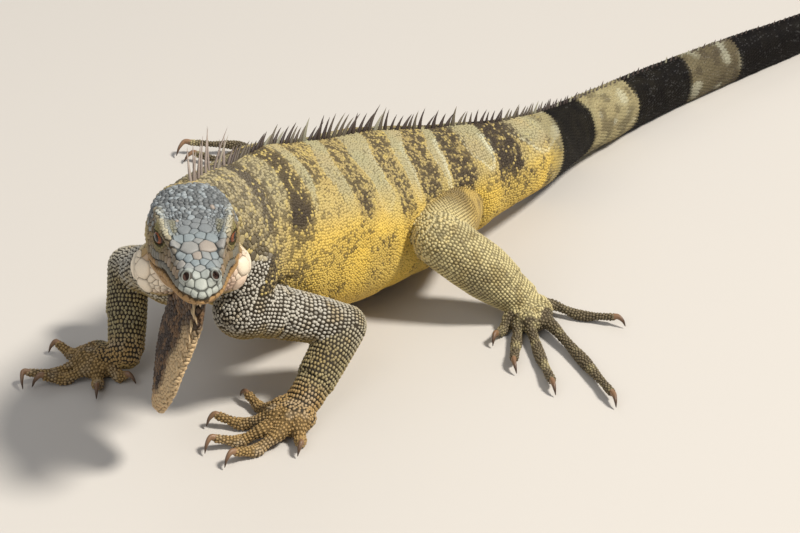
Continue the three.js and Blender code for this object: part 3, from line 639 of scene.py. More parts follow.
def body_tint(places, lengths, turns):
    """The colour of the trunk's and tail's scales."""
    side = np.abs(turns)
    at = lengths + (drift(places, 14, 1) - 0.5) * 7 * ease(0.1, 1.0, side)
    at = at - (BAND_SLANT * (1 - ease(0, 0.55, side)) * ease(90, 125, lengths)
               * (1 - ease(235, 275, lengths)))
    dark, rim = np.zeros(len(places)), np.zeros(len(places))
    lobe = np.zeros(len(places))
    starts = [band[0] for band in TRUNK_BANDS[1:]] + [TAIL_BANDS[0][0]]
    for (start, end, strength, reach), following in zip(TRUNK_BANDS, starts):
        band = ease(start - 1, start + 1.5, at) * (1 - ease(end - 8, end + 4, at))
        band *= 1 - ease(reach, reach + 0.4, side)
        dark = np.maximum(dark, band * strength)
        across = (at - end) / (following - end)
        limit = 1.12 - 0.4 * (2 * across - 1) ** 2 + 0.3 * (drift(places, 15, 12) - 0.5)
        inside = (across > -0.15) & (across < 1.0)
        lobe = np.maximum(lobe, inside * (1 - ease(limit - 0.05, limit + 0.03, side)))
        rear = bell(at - following + 2.2, 1.7) * (side < limit) * (side > 0.3)
        under = bell((side - limit + 0.04) / 0.05, 1) * inside
        rim = np.maximum(rim, np.maximum(rear, under * 0.7) * ease(0.45, 0.8, strength))
    ring = np.zeros(len(places))
    for start, end in TAIL_BANDS:
        ring = np.maximum(ring, ease(start - 2, start + 2, at) * (1 - ease(end - 2, end + 3, at)))
    tail = ease(TRUNK_END, TRUNK_END + 40, lengths)
    low = ease(0.75, 1.5, side)
    belly = ease(2.0, 2.6, side)
    base = mix(mix(PALE, GREENISH, drift(places, 12, 2)), YELLOW,
               np.maximum(low * (0.7 + 0.3 * drift(places, 18, 3)), (1 - lobe) * 0.35))
    base = mix(base, BELLY, belly * 0.7)
    base = mix(base, NECK, (1 - ease(30, 95, lengths)) * 0.85)
    base = mix(base, RIM, rim * 0.55)
    patches = ease(0.42, 0.7, drift(places, 15, 4)) * ease(0.7, 1.2, side) * (1 - lobe)
    shade = dark * (1 - ease(1.1, 1.75, side)) + patches * 0.32 * (1 - belly * 0.6)
    shade += 0.05 * (1 - lobe) + 0.22 * (1 - ease(45, 110, lengths))
    shade += ease(0.45, 0.7, drift(places, 10, 15)) * ease(300, 320, lengths) * 0.4
    base = mix(base, UMBER, np.clip(shade, 0, 0.8) * 0.72)
    fleck = 0.6 * drift(places, 2.2, 5) + 0.4 * dice.random(len(places))
    often = 0.14 + 0.5 * shade + 0.2 * (1 - ease(60, 150, lengths))
    trunk = mix(base, DARK, ease(-0.06, 0.06, often - fleck)
                * (0.55 + 0.4 * shade) * (1 - 0.4 * belly))
    bright = (fleck > 0.7) * (0.4 + 0.6 * drift(places, 9, 6)) * (0.3 + 0.7 * ease(0, 0.5, shade))
    trunk = mix(trunk, FLECK, bright * (0.5 - 0.25 * dark))
    # The pale zones darken from 455 to 600 mm behind the nape: painted shade on the far tail.
    pale_tail = mix(mix(TAIL_PALE, GREENISH, drift(places, 14, 7) * 0.5), TAIL_FAR_SHADE,
                    ease(455, 600, lengths))
    pale_tail = mix(pale_tail, DARK, ease(0.5, 0.75, drift(places, 7, 8)) * 0.5)
    # Painted highlights: pale streaks blotched over the tail's pale zones.
    pale_tail = mix(pale_tail, RIM, ease(0.62, 0.85, drift(places, 9, 14)) * 0.35)
    tail_tint = mix(mix(pale_tail, trunk, 1 - tail), TAIL_DARK,
                    ring * (0.96 + 0.04 * drift(places, 5, 9)))
    return mix(trunk, tail_tint, ease(TRUNK_END - 20, TRUNK_END, lengths))


def limb_tint(places, outward, name, lengths):
    """The colour of the scales of a limb, palm or digit."""
    under = ease(0.1, 0.75, -outward[:, 2])
    soft = drift(places, 6, 11)
    wide = drift(places, 17, 13)
    grain = dice.random(len(places))
    if "arm" in name:
        share = lengths / ROUTES[name].total + ("fore" in name)
        top = mix(BEAD * 1.12, BEAD, ease(0.1, 0.5, share))
        # Towards the wrist the beads go to the forearm's olive: partly its own colour, partly painted
        # shade.
        top = mix(top, FORE_BEAD_AND_SHADE, ease(0.6, 1.5, share))
        top = mix(top, OLIVE * 1.4, ease(0.45, 0.95, soft) * 0.5)
        top = mix(top, OLIVE, ease(0.55, 0.8, wide) * 0.35)
        top = mix(top, ARM_DARK * 1.6, ease(0.7, 1, grain) * 0.5)
        top = mix(top, mix(HAND, BEAD, ease(0.5, 0.9, soft) * 0.3), ease(1.75, 2.05, share))
        # The underside of an arm is olive and darker than its top: partly its own colour, partly
        # painted shade.
        return mix(top, OLIVE * 1.1, under)
    if "hand" in name:
        top = mix(HAND, BEAD, ease(0.5, 0.9, soft) * 0.3)
        return mix(top, HAND * 0.6, ease(0.6, 1, grain) * 0.7)
    if "thigh" in name:
        top = mix(THIGH, OLIVE, ease(0.4, 0.8, soft) * 0.7)
        top = mix(top, UMBER * 0.8, ease(0.5, 0.75, wide) * 0.5)
        return mix(top, SHANK * 1.1, ease(45, 70, lengths) * 0.7)
    if "shank" in name:
        top = mix(SHANK, OLIVE, ease(0.45, 0.9, soft) * 0.55)
        top = mix(top, UMBER * 0.8, ease(0.5, 0.75, wide) * 0.4)
        return mix(top, ARM_DARK * 2, ease(0.7, 1, grain) * 0.5)
    top = mix(FOOT, SHANK, ease(0.5, 0.9, soft) * 0.6)
    return mix(top, ARM_DARK * 1.6, ease(0.6, 1, grain) * 0.6)


# ------------------------------------------------------------------ skin

VOXEL = 1.15
SKIN_TRIANGLES_MOST = 185000
# How far from the middle of the head, a hand and a foot the skin keeps most of its triangles.
HEAD_FINE, HAND_FINE, FOOT_FINE = 44, 34, 70


def make_flesh():
    """The bare forms of the whole animal, run together."""
    flesh = bmesh.new()
    add_tube(flesh, ROUTES["body"], 64, 2.4, (0, 1))
    for name in ROUTES:
        if name.startswith(("upper", "fore", "thigh", "shank", "digit")):
            add_tube(flesh, ROUTES[name], 24, 1.6)
    add_tube(flesh, skull, 56, 1.6, (0, 1))
    add_tube(flesh, jaw, 56, 1.6, (0, 1))
    add_tube(flesh, ROUTES["dewlap"], 48, 1.6)
    for name, digits in DIGITS.items():
        kind, side = name.split("_")
        palm = (ARMS if kind == "hand" else LEGS)[side]["palm"]
        toward = np.subtract(digits[2]["knuckle"], palm)
        matrix = (Matrix.Translation(palm)
                  @ Matrix.Rotation(math.atan2(toward[1], toward[0]), 4, "Z"))
        add_ball(flesh, matrix, (*PALM_HALF[kind], palm[2] + SOLE_SINK))
    for foot, top in SHOULDERS.values():
        add_tube(flesh, limb_route(foot, top, SHOULDER_GIRTH), 24, 1.6)
    for sign in (1, -1):
        add_ball(flesh, head_matrix(eye_middle(sign)), (EYE["radius"] + LIDS,) * 3)
        for (aside, ahead, up), half in (JOWL, TEMPLE, NOSE):
            add_ball(flesh, head_matrix((sign * aside, ahead, up)), half)
        add_tube(flesh, Route([from_head((sign * aside, ahead, up)) for aside, ahead, up, _ in BROW],
                              [(half,) * 3 for *_, half in BROW]), 16, 1.2)
    bmesh.ops.recalc_face_normals(flesh, faces=flesh.faces)
    mesh = bpy.data.meshes.new("flesh")
    flesh.to_mesh(mesh)
    flesh.free()
    return with_modifiers(
        "flesh", mesh,
        ("REMESH", {"mode": "VOXEL", "voxel_size": VOXEL}),
        ("SMOOTH", {"factor": 0.5, "iterations": 5}))


def tree_of(places):
    """A tree that finds the nearest of some places."""
    tree = KDTree(len(places))
    for number, place in enumerate(places):
        tree.insert(place, number)
    tree.balance()
    return tree


def surface_of(mesh):
    """A mesh as a surface that rays can be cast at."""
    faces = [tuple(face.vertices) for face in mesh.polygons]
    return BVHTree.FromPolygons([vert.co for vert in mesh.vertices], faces)


def struck(surface, start, ray):
    """Where a ray first meets a surface, or None."""
    hit = surface.ray_cast(Vector(start), Vector(ray))[0]
    return None if hit is None else np.array(hit)


def mouth_line(surface):
    """Points round the snout on the line between the lips, from the right corner to the left."""
    pivot = from_head((0, MOUTH["pivot"], 0))
    points = []
    for degree in np.linspace(-MOUTH["reach"], MOUTH["reach"], 161):
        turn = math.radians(degree)
        droop = MOUTH["droop"] * float(ease(50, MOUTH["reach"], abs(degree)))
        start = from_head((0, MOUTH["pivot"], -droop))
        outward = from_head((math.sin(turn), MOUTH["pivot"] + math.cos(turn), 0)) - pivot
        points.append(struck(surface, start, outward))
    return np.array(points)


def apart_from(places, points):
    """How far each place is from the nearest of some points."""
    near = np.empty(len(places))
    for start in range(0, len(places), BATCH):
        part = places[start:start + BATCH]
        near[start:start + BATCH] = np.linalg.norm(part[:, None] - points[None], axis=2).min(1)
    return near


def bell(distance, width):
    """1 at no distance, dying away over a width on both sides."""
    return np.exp(-(distance / width) ** 2)


ROOT_REACH, PALM_REACH = 85, 26     # how far from a limb's root and a palm creases are sought


def fold_depth(places):
    """How deep the creases are where limbs leave the trunk, and between the digits' roots."""
    deep = np.zeros(len(places))
    for name in ROOTED:
        start = ROUTES[name].points[0]
        near = np.flatnonzero(np.linalg.norm(places - start, axis=1) < ROOT_REACH)
        lengths, _, own = ROUTES[name].depth(places[near])
        _, _, other = ROUTES["body"].depth(places[near])
        apart = (own - other) * 20
        deep[near] = np.maximum(deep[near], 1.5 * bell(apart, 2.2) * (own < 1.35) * (other < 1.3))
        if name.startswith("upper"):
            behind = lengths - CREASE * ROUTES[name].total
            deep[near] = np.maximum(deep[near], 1.3 * bell(behind, 1.8) * (own < 1.4))
    for name in DIGITS:
        palm = ROUTES[f"palm_{name}"].points[1]
        near = np.flatnonzero(np.linalg.norm(places - palm, axis=1) < PALM_REACH)
        levels = np.sort([ROUTES[f"digit_{name}_{number}"].depth(places[near])[2]
                          for number in range(1, 6)], 0)
        between = bell((levels[1] - levels[0]) * 4, 0.9) * ease(1.2, 1.6, levels[0])
        deep[near] = np.maximum(deep[near], 1.1 * between * (places[near, 2] > 4))
    return deep


def nostril_seat(surface, sign):
    """Where a nostril opens, and the way it faces."""
    aside, ahead, up = NOSTRIL["from"]
    start = from_head((sign * aside, ahead, up))
    out, forward, upward = NOSTRIL["way"]
    way = unit(head_way(sign * out, forward, upward))
    return struck(surface, start, way), way


def sculpt(mesh, line):
    """Presses the mouth, eyes, ears, nostrils and folds into the flesh."""
    places, normals = corners_of(mesh), normals_of(mesh)
    head = into_head(places)
    on_head = np.flatnonzero((head[:, 1] > -10) & (np.abs(head[:, 0]) < 34)
                             & (head[:, 2] > -36) & (head[:, 2] < 34))
    push = (drift(places, 22, 31) - 0.5) * 0.7 + (drift(places, 8, 32) - 0.5) * 0.5
    push[on_head] *= 0.3
    near = places[on_head]
    gap = apart_from(near, line)
    push[on_head] += 0.6 * bell(gap - 2.4, 1.2) - 1.2 * bell(gap, 0.7)
    for sign in (1, -1):
        nostril, _ = NOSTRILS[sign]
        far = np.linalg.norm((near - nostril) @ HEAD_AXES * (1.15, 0.8, 0.8), axis=1)
        push[on_head] += 0.5 * bell(far - NOSTRIL["radius"] - 0.6, 0.8) - 2.8 * bell(far, 1.7)
        ear = from_head((sign * 23, EAR["ahead"], EAR["up"]))
        far = np.linalg.norm(near - ear, axis=1)
        push[on_head] += 0.8 * bell(far - 6.6, 1.1) - 1.4 * (1 - ease(5, 6.2, far))
    push -= fold_depth(places)
    moved = places + normals * push[:, None]
    for sign in (1, -1):
        socket = into_head(moved[on_head]) - eye_middle(sign)
        out, aslant, high = eye_axes(socket, sign)
        slit = (aslant / EYE_SLIT[0]) ** 2 + (high / EYE_SLIT[1]) ** 2
        sink = (1 - ease(0.75, 1.15, slit)) * (out > 0)
        moved[on_head] -= (4.2 * sink)[:, None] * eye_outward(sign)
    moved[:, 2] = np.maximum(moved[:, 2], 0.02)
    mesh.vertices.foreach_set("co", moved.ravel())
    mesh.update()


def eye_axes(local, sign):
    """How far out of the eye, along its slit and up a place given from the eye's middle lies."""
    look = EYE["look"]
    out = local[:, 0] * sign * math.cos(look) + local[:, 1] * math.sin(look)
    aslant = -local[:, 0] * sign * math.sin(look) + local[:, 1] * math.cos(look)
    return out, aslant, local[:, 2]


def eye_outward(sign):
    """The way an eye looks."""
    return head_way(sign * math.cos(EYE["look"]), math.sin(EYE["look"]), 0)


def thin_out(mesh, most):
    """Fewer triangles, kept where the head and the digits need them."""
    places = corners_of(mesh)
    far = np.linalg.norm(places - from_head((0, 34, 0)), axis=1)
    spare = np.clip((far - HEAD_FINE) / 12, 0, 1)
    for limbs, fine in ((ARMS, HAND_FINE), (LEGS, FOOT_FINE)):
        for joints in limbs.values():
            far = np.linalg.norm(places - joints["palm"], axis=1)
            spare = np.minimum(spare, np.clip((far - fine) / 10, 0.25, 1))
    holder = link("skin", mesh)
    group = holder.vertex_groups.new(name="spare")
    for level in range(11):
        chosen = np.flatnonzero(np.round(spare * 10) == level)
        group.add(chosen.tolist(), level / 10, "REPLACE")
    triangles = sum(len(face.vertices) - 2 for face in mesh.polygons)
    thin = holder.modifiers.new("Thin", "DECIMATE")
    thin.ratio = most / triangles
    thin.vertex_group = "spare"
    thin.vertex_group_factor = 1
    return with_modifiers_applied(holder)


flesh_mesh = make_flesh()
flesh_surface = surface_of(flesh_mesh)
MOUTH_LINE = mouth_line(flesh_surface)
NOSTRILS = {sign: nostril_seat(flesh_surface, sign) for sign in (1, -1)}
sculpt(flesh_mesh, MOUTH_LINE)
skin_mesh = thin_out(flesh_mesh, SKIN_TRIANGLES_MOST)
SURFACE = surface_of(skin_mesh)
SKIN_PLACES = corners_of(skin_mesh)
SKIN_NORMALS = normals_of(skin_mesh)
SKIN_TREE = tree_of(SKIN_PLACES)
skin_mesh.calc_loop_triangles()
SKIN_TRIANGLES = np.array([tuple(face.vertices) for face in skin_mesh.loop_triangles])
HEAD_PART = np.flatnonzero(np.linalg.norm(SKIN_PLACES - from_head((0, 34, -4)), axis=1) < 60)

# ------------------------------------------------------------------ scales in rings


# Columns of a ring scale's row.
PLACE, ALONG, OUTWARD = slice(0, 3), slice(3, 6), slice(6, 9)
TURN, LENGTH, SIZE = 9, 10, 11


def ring_turns(route, halves, count, offset):
    """Turns from the top that part a ring's edge into equal lengths."""
    fine = np.linspace(-math.pi, math.pi, 241)
    aside, high = route.section(fine, np.broadcast_to(halves, (len(fine), 3)))
    edge = np.concatenate([[0], np.cumsum(np.hypot(np.diff(aside), np.diff(high)))])
    wanted = (np.arange(count) + offset) / count * edge[-1]
    turns = np.interp(wanted, edge, fine)
    aside, high = route.section(turns, np.broadcast_to(halves, (count, 3)))
    return np.arctan2(aside, high), edge[-1]


def ring_roots(name, first, last, pitch, ratio=1.0, lowest=0.5, loose=0.1):
    """Roots in staggered rings round a form: place, along, outward, turn, length and size."""
    route = ROUTES[name]
    rows = []
    length, number = first, 0
    while length < last:
        size = pitch(length) if callable(pitch) else pitch
        centre, along, across, up, halves = (value[0] for value in route.at(length))
        _, edge = ring_turns(route, halves, 1, 0)
        count = max(6, round(edge / (size * ratio)))
        turns, _ = ring_turns(route, halves, count, 0.5 * (number % 2))
        stray = dice.uniform(-loose, loose, (count, 2))
        for turn, (sideways, onwards) in zip(turns, stray):
            turn += sideways * 2 * math.pi / count
            ray = across * math.sin(turn) + up * math.cos(turn)
            middle = centre + along * (onwards * size)
            place, normal, _, _ = SURFACE.ray_cast(Vector(middle), Vector(ray))
            if place is not None and place[2] > lowest:
                rows.append((*place, *along, *normal, turn, length, size))
        length += size
        number += 1
    rows = np.array(rows)
    rows = rows[owners_of(rows[:, PLACE]) == OWNERS.index(name)]
    ROOTS.append(rows[:, PLACE])
    return rows


def roots_of(rows):
    """The places, ways along and ways outward of ring scales."""
    return rows[:, PLACE], rows[:, ALONG], rows[:, OUTWARD]


def uneven(rows, spread):
    """The sizes of ring scales, each a little its own."""
    return rows[:, [SIZE]] * (1 + spread * (dice.random((len(rows), 1)) - 0.5))


def granule(form):
    """A low six-sided scale, rounded over."""
    bmesh.ops.create_cone(form, segments=6, radius1=0.54, radius2=0.3, depth=1, cap_tris=True,
                          cap_ends=True)
    bottom = [face for face in form.faces if face.normal.z < -0.5]
    bmesh.ops.delete(form, geom=bottom, context="FACES")
    for vert in form.verts:
        vert.co.z = 0.8 if vert.co.z > 0 else -0.35
        if vert.co.xy.length < 0.01:
            vert.co.z = 1


def bead(form):
    """A scale that stands up as a rounded bead, a little longer than wide."""
    bmesh.ops.create_uvsphere(form, u_segments=7, v_segments=6, radius=0.5)
    low = [vert for vert in form.verts if vert.co.z < -0.2]
    bmesh.ops.delete(form, geom=low, context="VERTS")
    for vert in form.verts:
        vert.co.z = vert.co.z * 2 if vert.co.z > -0.1 else -0.3


def keeled(form):
    """A scale that overlaps the next, ridged along its middle and lifted at its end."""
    bmesh.ops.create_grid(form, x_segments=2, y_segments=2, size=0.5)
    for vert in form.verts:
        lift = vert.co.y + 0.5
        edge = abs(vert.co.x) > 0.2
        vert.co.z = (0.15 + 0.85 * lift if not edge else 0.45 * lift - 0.2)
        if edge and lift > 0.9:
            vert.co.x *= 0.45
            vert.co.y -= 0.08
    tail = [edge for edge in form.edges if edge.is_boundary
            and min(vert.co.y for vert in edge.verts) > 0.2]
    skirt = bmesh.ops.extrude_edge_only(form, edges=tail)["geom"]
    for vert in skirt:
        if isinstance(vert, bmesh.types.BMVert):
            vert.co.z = -0.3
            vert.co.y -= 0.1


GRANULE, KNOB, KEELED = template(granule), template(bead), template(keeled)


def turned_charts(rows, total, cell=(0, 0, 1, 1)):
    """Where a form's roots lie on its unrolled skin, in a cell of the chart."""
    left, low, wide, high = cell
    return np.stack([left + wide * (0.02 + 0.96 * rows[:, LENGTH] / total),
                     low + high * (0.5 + 0.47 * rows[:, TURN] / math.pi)], 1)


# How far behind the nape the plates end and granules begin, and where the tail's rows begin.
NECK_END = 44
TAIL_START = 345


def coat_body():
    """Granules over the neck and trunk, keeled rows over the tail."""
    total = ROUTES["body"].total
    rows = ring_roots(
        "body", NECK_END, TAIL_START,
        lambda length: 1.62 + 0.4 * float(ease(250, TAIL_START, length)), loose=0.26)
    tints = body_tint(rows[:, PLACE], rows[:, LENGTH], rows[:, TURN])
    sizes = uneven(rows, 0.18) * np.array([1.12, 1.16, 0.26])
    trunk = strew("trunk_scales", GRANULE, roots_of(rows), sizes, tints,
                  turned_charts(rows, TAIL_START))
    rows = ring_roots("body", TAIL_START, total, lambda length: float(np.interp(
        length, [TAIL_START, 500, 800, total], [2.3, 3.2, 2.8, 1.8])), 0.82)
    tints = body_tint(rows[:, PLACE], rows[:, LENGTH], rows[:, TURN])
    sizes = rows[:, [SIZE]] * np.array([0.9, 1.25, 0.3])
    return trunk, strew("tail_scales", KEELED, roots_of(rows), sizes, tints,
                        turned_charts(rows, total))


# The step from ring to ring of each kind of limb, by the share of its length that lies behind.
LIMB_PITCH = {
    "upper": lambda share: 2.0 + 0.75 * math.sin(math.pi * min(max(share * 0.9, 0), 1)),
    "forearm": lambda share: 2.4 + 0.2 * share,
    "thigh": lambda share: 1.5 + 1.0 * max(share, 0) ** 2,
    "shank": lambda share: 2.4 - 0.3 * share,
    "digit": lambda share: 1.9,
}


def coat_limbs():
    """Rows of beads round every limb, palm and digit."""
    names = [name for name in OWNERS if name.split("_")[0] in LIMB_PITCH]
    across_chart = math.ceil(math.sqrt(len(names)))
    found = []
    for number, name in enumerate(names):
        route = ROUTES[name]
        pitch = LIMB_PITCH[name.split("_")[0]]
        digit = "digit" in name
        start = 2 if digit else 0 if "upper" in name or "thigh" in name else -14
        rows = ring_roots(name, start, route.total + (1.5 if digit else 14),
                          lambda length: pitch(length / route.total), 0.95 if digit else 0.86)
        cell = (number % across_chart / across_chart, number // across_chart / across_chart,
                1 / across_chart, 1 / across_chart)
        tints = limb_tint(rows[:, PLACE], rows[:, OUTWARD], name, rows[:, LENGTH])
        wide, long = (0.7, 0.9) if "arm" in name else (0.84, 0.94)
        sizes = uneven(rows, 0.16) * np.array([wide, long, 0.3])
        found.append((rows, sizes, tints, turned_charts(rows, route.total * 1.3, cell)))
    rows, sizes, tints, charts = (np.concatenate(part) for part in zip(*found))
    return strew("limb_scales", KNOB, roots_of(rows), sizes, tints, charts)


# ------------------------------------------------------------------ crest


def blade(form):
    """A spine standing from z = 0 to 1, round and thick at its root, thinning to its tip."""
    bmesh.ops.create_grid(form, x_segments=6, y_segments=5, size=0.5)
    for vert in form.verts:
        turn, share = 2 * math.pi * (vert.co.x + 0.5), vert.co.y + 0.5
        girth = 0.5 * (1 - share) ** 0.62 * (1 + 0.25 * math.sin(math.pi * min(share * 2, 1)))
        vert.co = (math.sin(turn) * girth, math.cos(turn) * girth, share)
    bmesh.ops.remove_doubles(form, verts=form.verts, dist=1e-4)
    bmesh.ops.recalc_face_normals(form, faces=form.faces)


BLADE = template(blade)
# Height of a spine and the step to the next, by how far behind the nape it stands.
CREST_AT = [0, 22, 50, 66, 90, 127, 163, 200, 236, 273, 310, 357, 418, 516, 634, 740, 900]
CREST_HIGH = [20, 24, 13, 8.5, 10.5, 13.5, 14.5, 14.5, 13, 11.5, 9.5, 7.6, 5.6, 4.4, 3.6, 2.6, 1.4]
CREST_STEP = [3.7, 4.2, 4.3, 4.4, 4.6, 4.9, 5.1, 5.1, 5.0, 4.9, 4.8, 4.8, 5.2, 6, 6.6, 6, 5]
NUCHAL = 48                     # how far behind the nape its tall spines reach
SPINE_SINK = 1.2                # how deep a spine's root is set in the skin


def in_band(lengths, bands):
    """Whether each length along the body falls in one of the bands."""
    hit = np.zeros(len(lengths), bool)
    for start, end in bands:
        hit |= (lengths > start) & (lengths < end)
    return hit


def make_crest():
    """The spines along the ridge, tall and pale on the nape, dark and light with the bands."""
    route = ROUTES["body"]
    lengths, length = [], -2.0
    while length < CREST_AT[-1]:
        lengths.append(length)
        length += float(np.interp(length, CREST_AT, CREST_STEP)) * draw.uniform(0.85, 1.15)
    lengths = np.array(lengths)
    centre, along, across, up, halves = route.at(lengths)
    places = centre + up * (halves[:, 1:2] - SPINE_SINK)
    for number, (middle, rise) in enumerate(zip(centre, up)):
        hit = struck(SURFACE, middle + rise * 5, rise)
        if hit is not None:
            places[number] = hit - rise * SPINE_SINK
    nape = 1 - ease(NUCHAL - 18, NUCHAL + 12, lengths)
    high = np.interp(lengths, CREST_AT, CREST_HIGH) * dice.uniform(0.68, 1.1, len(lengths))
    lean = (dice.uniform(-0.26, 0.26, len(lengths)) - 0.3 * np.clip(1 - lengths / 50, 0, 1)) * nape
    lean += dice.uniform(-0.09, 0.09, len(lengths))
    tilt = dice.uniform(-0.12, 0.3, len(lengths)) * (1 - nape)
    outward = unit(up + across * lean[:, None] + along * tilt[:, None])
    long = np.interp(high, [1, 5, 14, 24], [2.4, 3.0, 3.2, 2.1]) * dice.uniform(
        0.8, 1.2, len(lengths)) * (1 - 0.25 * nape)
    thick = np.interp(high, [1, 5, 14, 24], [1.2, 1.5, 1.8, 1.3])
    sizes = np.stack([thick, long, high + SPINE_SINK], 1)
    curl = np.where(lengths < NUCHAL, 0.22, 0.4) * high * dice.uniform(0.7, 1.25, len(lengths))

    def bend(spread):
        share = spread[..., 2] / sizes[:, 2:3]
        spread[..., 1] += curl[:, None] * share ** 1.8
        return spread

    dark = in_band(lengths, [band[:2] for band in TRUNK_BANDS] + TAIL_BANDS)
    tints = np.where(dark[:, None], SPINE_DARK, SPINE_LIGHT)
    tints = mix(tints, SPINE_WARM, dice.random(len(lengths)) * 0.9)
    tints = mix(tints, SPINE_PALE, (dice.random(len(lengths)) > 0.86) * 0.7)
    tints = mix(tints, SPINE_NAPE, nape * dice.uniform(0.3, 0.95, len(lengths)))
    charts = np.stack([0.02 + 0.96 * lengths.clip(0) / CREST_AT[-1], np.full(len(lengths), 0.5)], 1)
    return strew("crest", BLADE, (places, along, outward), sizes, tints, charts, bend)


# ------------------------------------------------------------------ claws and eyes


def make_claws():
    """A hooked claw on the end of every digit, in one piece."""
    places, faces, tints = [], [], []
    for name, digits in DIGITS.items():
        for number, digit in enumerate(digits, 1):
            route = ROUTES[f"digit_{name}_{number}"]
            centre, along, *_ = (value[0] for value in route.at(route.total))
            tip = np.array((*digit["tip"], 0.9))
            root = centre - along * 0.6
            tip = root + (tip - root) * 0.86
            tip[2] = max(tip[2], 0.4)
            crown = root + along * np.linalg.norm(tip - root) * 0.42 + (0, 0, 0.5)
            claw = Route([root, root * 0.3 + crown * 0.7, (crown + tip) / 2 + (0, 0, 0.6), tip],
                         [(1.7, 2.1, 2.0), (1.45, 1.8, 1.7), (0.95, 1.2, 1.0), (0.2, 0.24, 0.24)])
            form = bmesh.new()
            add_tube(form, claw, 12, 0.7, (1, 1))
            bmesh.ops.recalc_face_normals(form, faces=form.faces)
            corners, triangles = taken_out(form)
            corners[:, 2] = np.maximum(corners[:, 2], 0.15)
            faces += (triangles + sum(len(part) for part in places)).tolist()
            along_claw = np.linalg.norm(corners - root, axis=1) / np.linalg.norm(tip - root)
            places.append(corners)
            tints.append(mix(CLAW_ROOT, CLAW_TIP, ease(0.2, 1.0, along_claw)))
    places, tints = np.concatenate(places), np.concatenate(tints)
    return settle("claws", places, faces, tints)


# What the back half of an eyeball adds to its distance from the look, to lie past every ring.
BEHIND_IRIS = 20


def make_eye(side, sign):
    """An eyeball with a clear bulge over its iris, which the iris's rings are centred under."""
    form = bmesh.new()
    bmesh.ops.create_uvsphere(form, u_segments=48, v_segments=32, radius=1)
    for vert in form.verts:
        bulge = 1 + 0.045 * bell(math.hypot(vert.co.x, vert.co.y), 0.45) * (vert.co.z > 0)
        vert.co = vert.co * EYE["radius"] * bulge
    corners, faces = taken_out(form)
    outward = eye_outward(sign)
    ahead = unit(np.cross(HEAD_UP, outward))
    middle = from_head(eye_middle(sign))
    places = (middle + corners[:, :1] * ahead + corners[:, 1:2] * HEAD_UP
              + corners[:, 2:] * outward)
    rise = np.hypot(corners[:, 0], corners[:, 1]) + BEHIND_IRIS * (corners[:, 2] < 0)
    return settle(f"eyeball_{side}", places, faces.tolist(), EYE_RED, rise=rise)


# ------------------------------------------------------------------ colours of the head


CROWN = tone("#7b7f80")
SNOUT = tone("#848d8f")
SNOUT_END = tone("#aeb0a4")
FACE_BROWN_AND_SHADE = tone("#77623f")
CHEEK = tone("#b0a076")
JOWL_CREAM = tone("#e9dac2")
JOWL_PINK = tone("#cdb09a")
LOWER_LIP = tone("#a07c4c")
UPPER_LIP_DARK_AND_SHADE = tone("#6c6b63")
LID = tone("#7d7440")
PINKISH = tone("#a8937f")
CREAM = tone("#cdc7ab")
THROAT = tone("#a8935f")
# Painted highlights: the pale blue-grey glints on some of the crown's granules.
CROWN_GLINT = tone("#a4adb0")
DEWLAP_DARK_AND_SHADE = tone("#302015")
DEWLAP_BROWN = tone("#735536")
DEWLAP_LIT_EDGE = tone("#d3b68a")
DEWLAP_TIP = tone("#c9a67a")
GULAR_PALE = tone("#cdb58d")
GULAR_BROWN = tone("#8d6f4c")
EAR_DISC = tone("#86795c")
NOSTRIL_RIM = tone("#75776f")
NOSTRIL_INSIDE = tone("#4a3329")
LID_EDGE = tone("#2a211a")
LIP_SEAM = tone("#3a2a22")


def head_tint(places):
    """The colour of the head's scales and skin, worked out from where they lie on it."""
    aside, ahead, up = into_head(places).T
    aside = np.abs(aside)
    mottle = 0.6 * drift(places, 2.6, 23) + 0.4 * dice.random(len(places))
    tints = mix(CHEEK, YELLOW, drift(places, 8, 21) * 0.35)
    tints = mix(tints, DARK, ease(0.52, 0.66, mottle) * 0.6)
    tints = mix(tints, CROWN, ease(5, 11, up) * ease(-5, -2, ahead))
    tints = mix(tints, SNOUT, ease(38, 46, ahead) * ease(-1, 3, up))
    # The sides of the face below the brow are brown and darker, and the upper lip dark grey: partly
    # their own colour, partly painted shade.
    edge = np.interp(ahead, [24, 39, 50, 64, 73], [17, 14.4, 11.7, 9, 7.6])
    tints = mix(tints, FACE_BROWN_AND_SHADE, ease(0, 1.6, aside - edge) * ease(10, 24, ahead)
                * (1 - ease(66, 71, ahead)) * 0.92)
    tints = mix(tints, SNOUT_END, ease(66, 74, ahead) * 0.8)
    lip = ease(20, 32, ahead) * ease(-7, -5, up) * (1 - ease(2.4, 4.4, up))
    tints = mix(tints, UPPER_LIP_DARK_AND_SHADE, lip * (1 - ease(66, 72, ahead)) * 0.85)
    # A narrow pale line along the top of each brow ridge: partly its own cream colour, partly a
    # painted highlight on the ridge.
    ridge = bell(np.hypot(
        aside - np.interp(ahead, [18, 30, 41, 50, 57], [18, 17.4, 15.6, 13.1, 11.2]),
        up - np.interp(ahead, [18, 30, 41, 50, 57], [19, 19.6, 18.6, 16, 13.4])), 1.7)
    tints = mix(tints, CREAM, ridge * 0.7 * (1 - ease(44, 52, ahead)))
    around = np.hypot(ahead - EYE["ahead"], (up - EYE["up"]) * 1.15)
    tints = mix(tints, LID, (1 - ease(6.5, 9.5, around)) * ease(9, 11.5, aside) * 0.9)
    line = np.interp(ahead, [-20, 14, 40, 60], [-7.2, -6.5, -1.5, 0])
    below = ease(-0.4, 0.6, line - up)
    tints = mix(tints, LOWER_LIP, ease(2, 16, ahead) * below)
    jowl = mix(JOWL_CREAM, JOWL_PINK, ease(0.35, 0.7, drift(places, 9, 25)) * ease(6, 12, ahead))
    tints = mix(tints, jowl, (1 - ease(-13, -9, up)) * (1 - ease(28, 36, ahead))
                * ease(-16, -8, ahead) * (1 - ease(27, 33, -up)))
    return mix(tints, THROAT, ease(28, 33, -up))


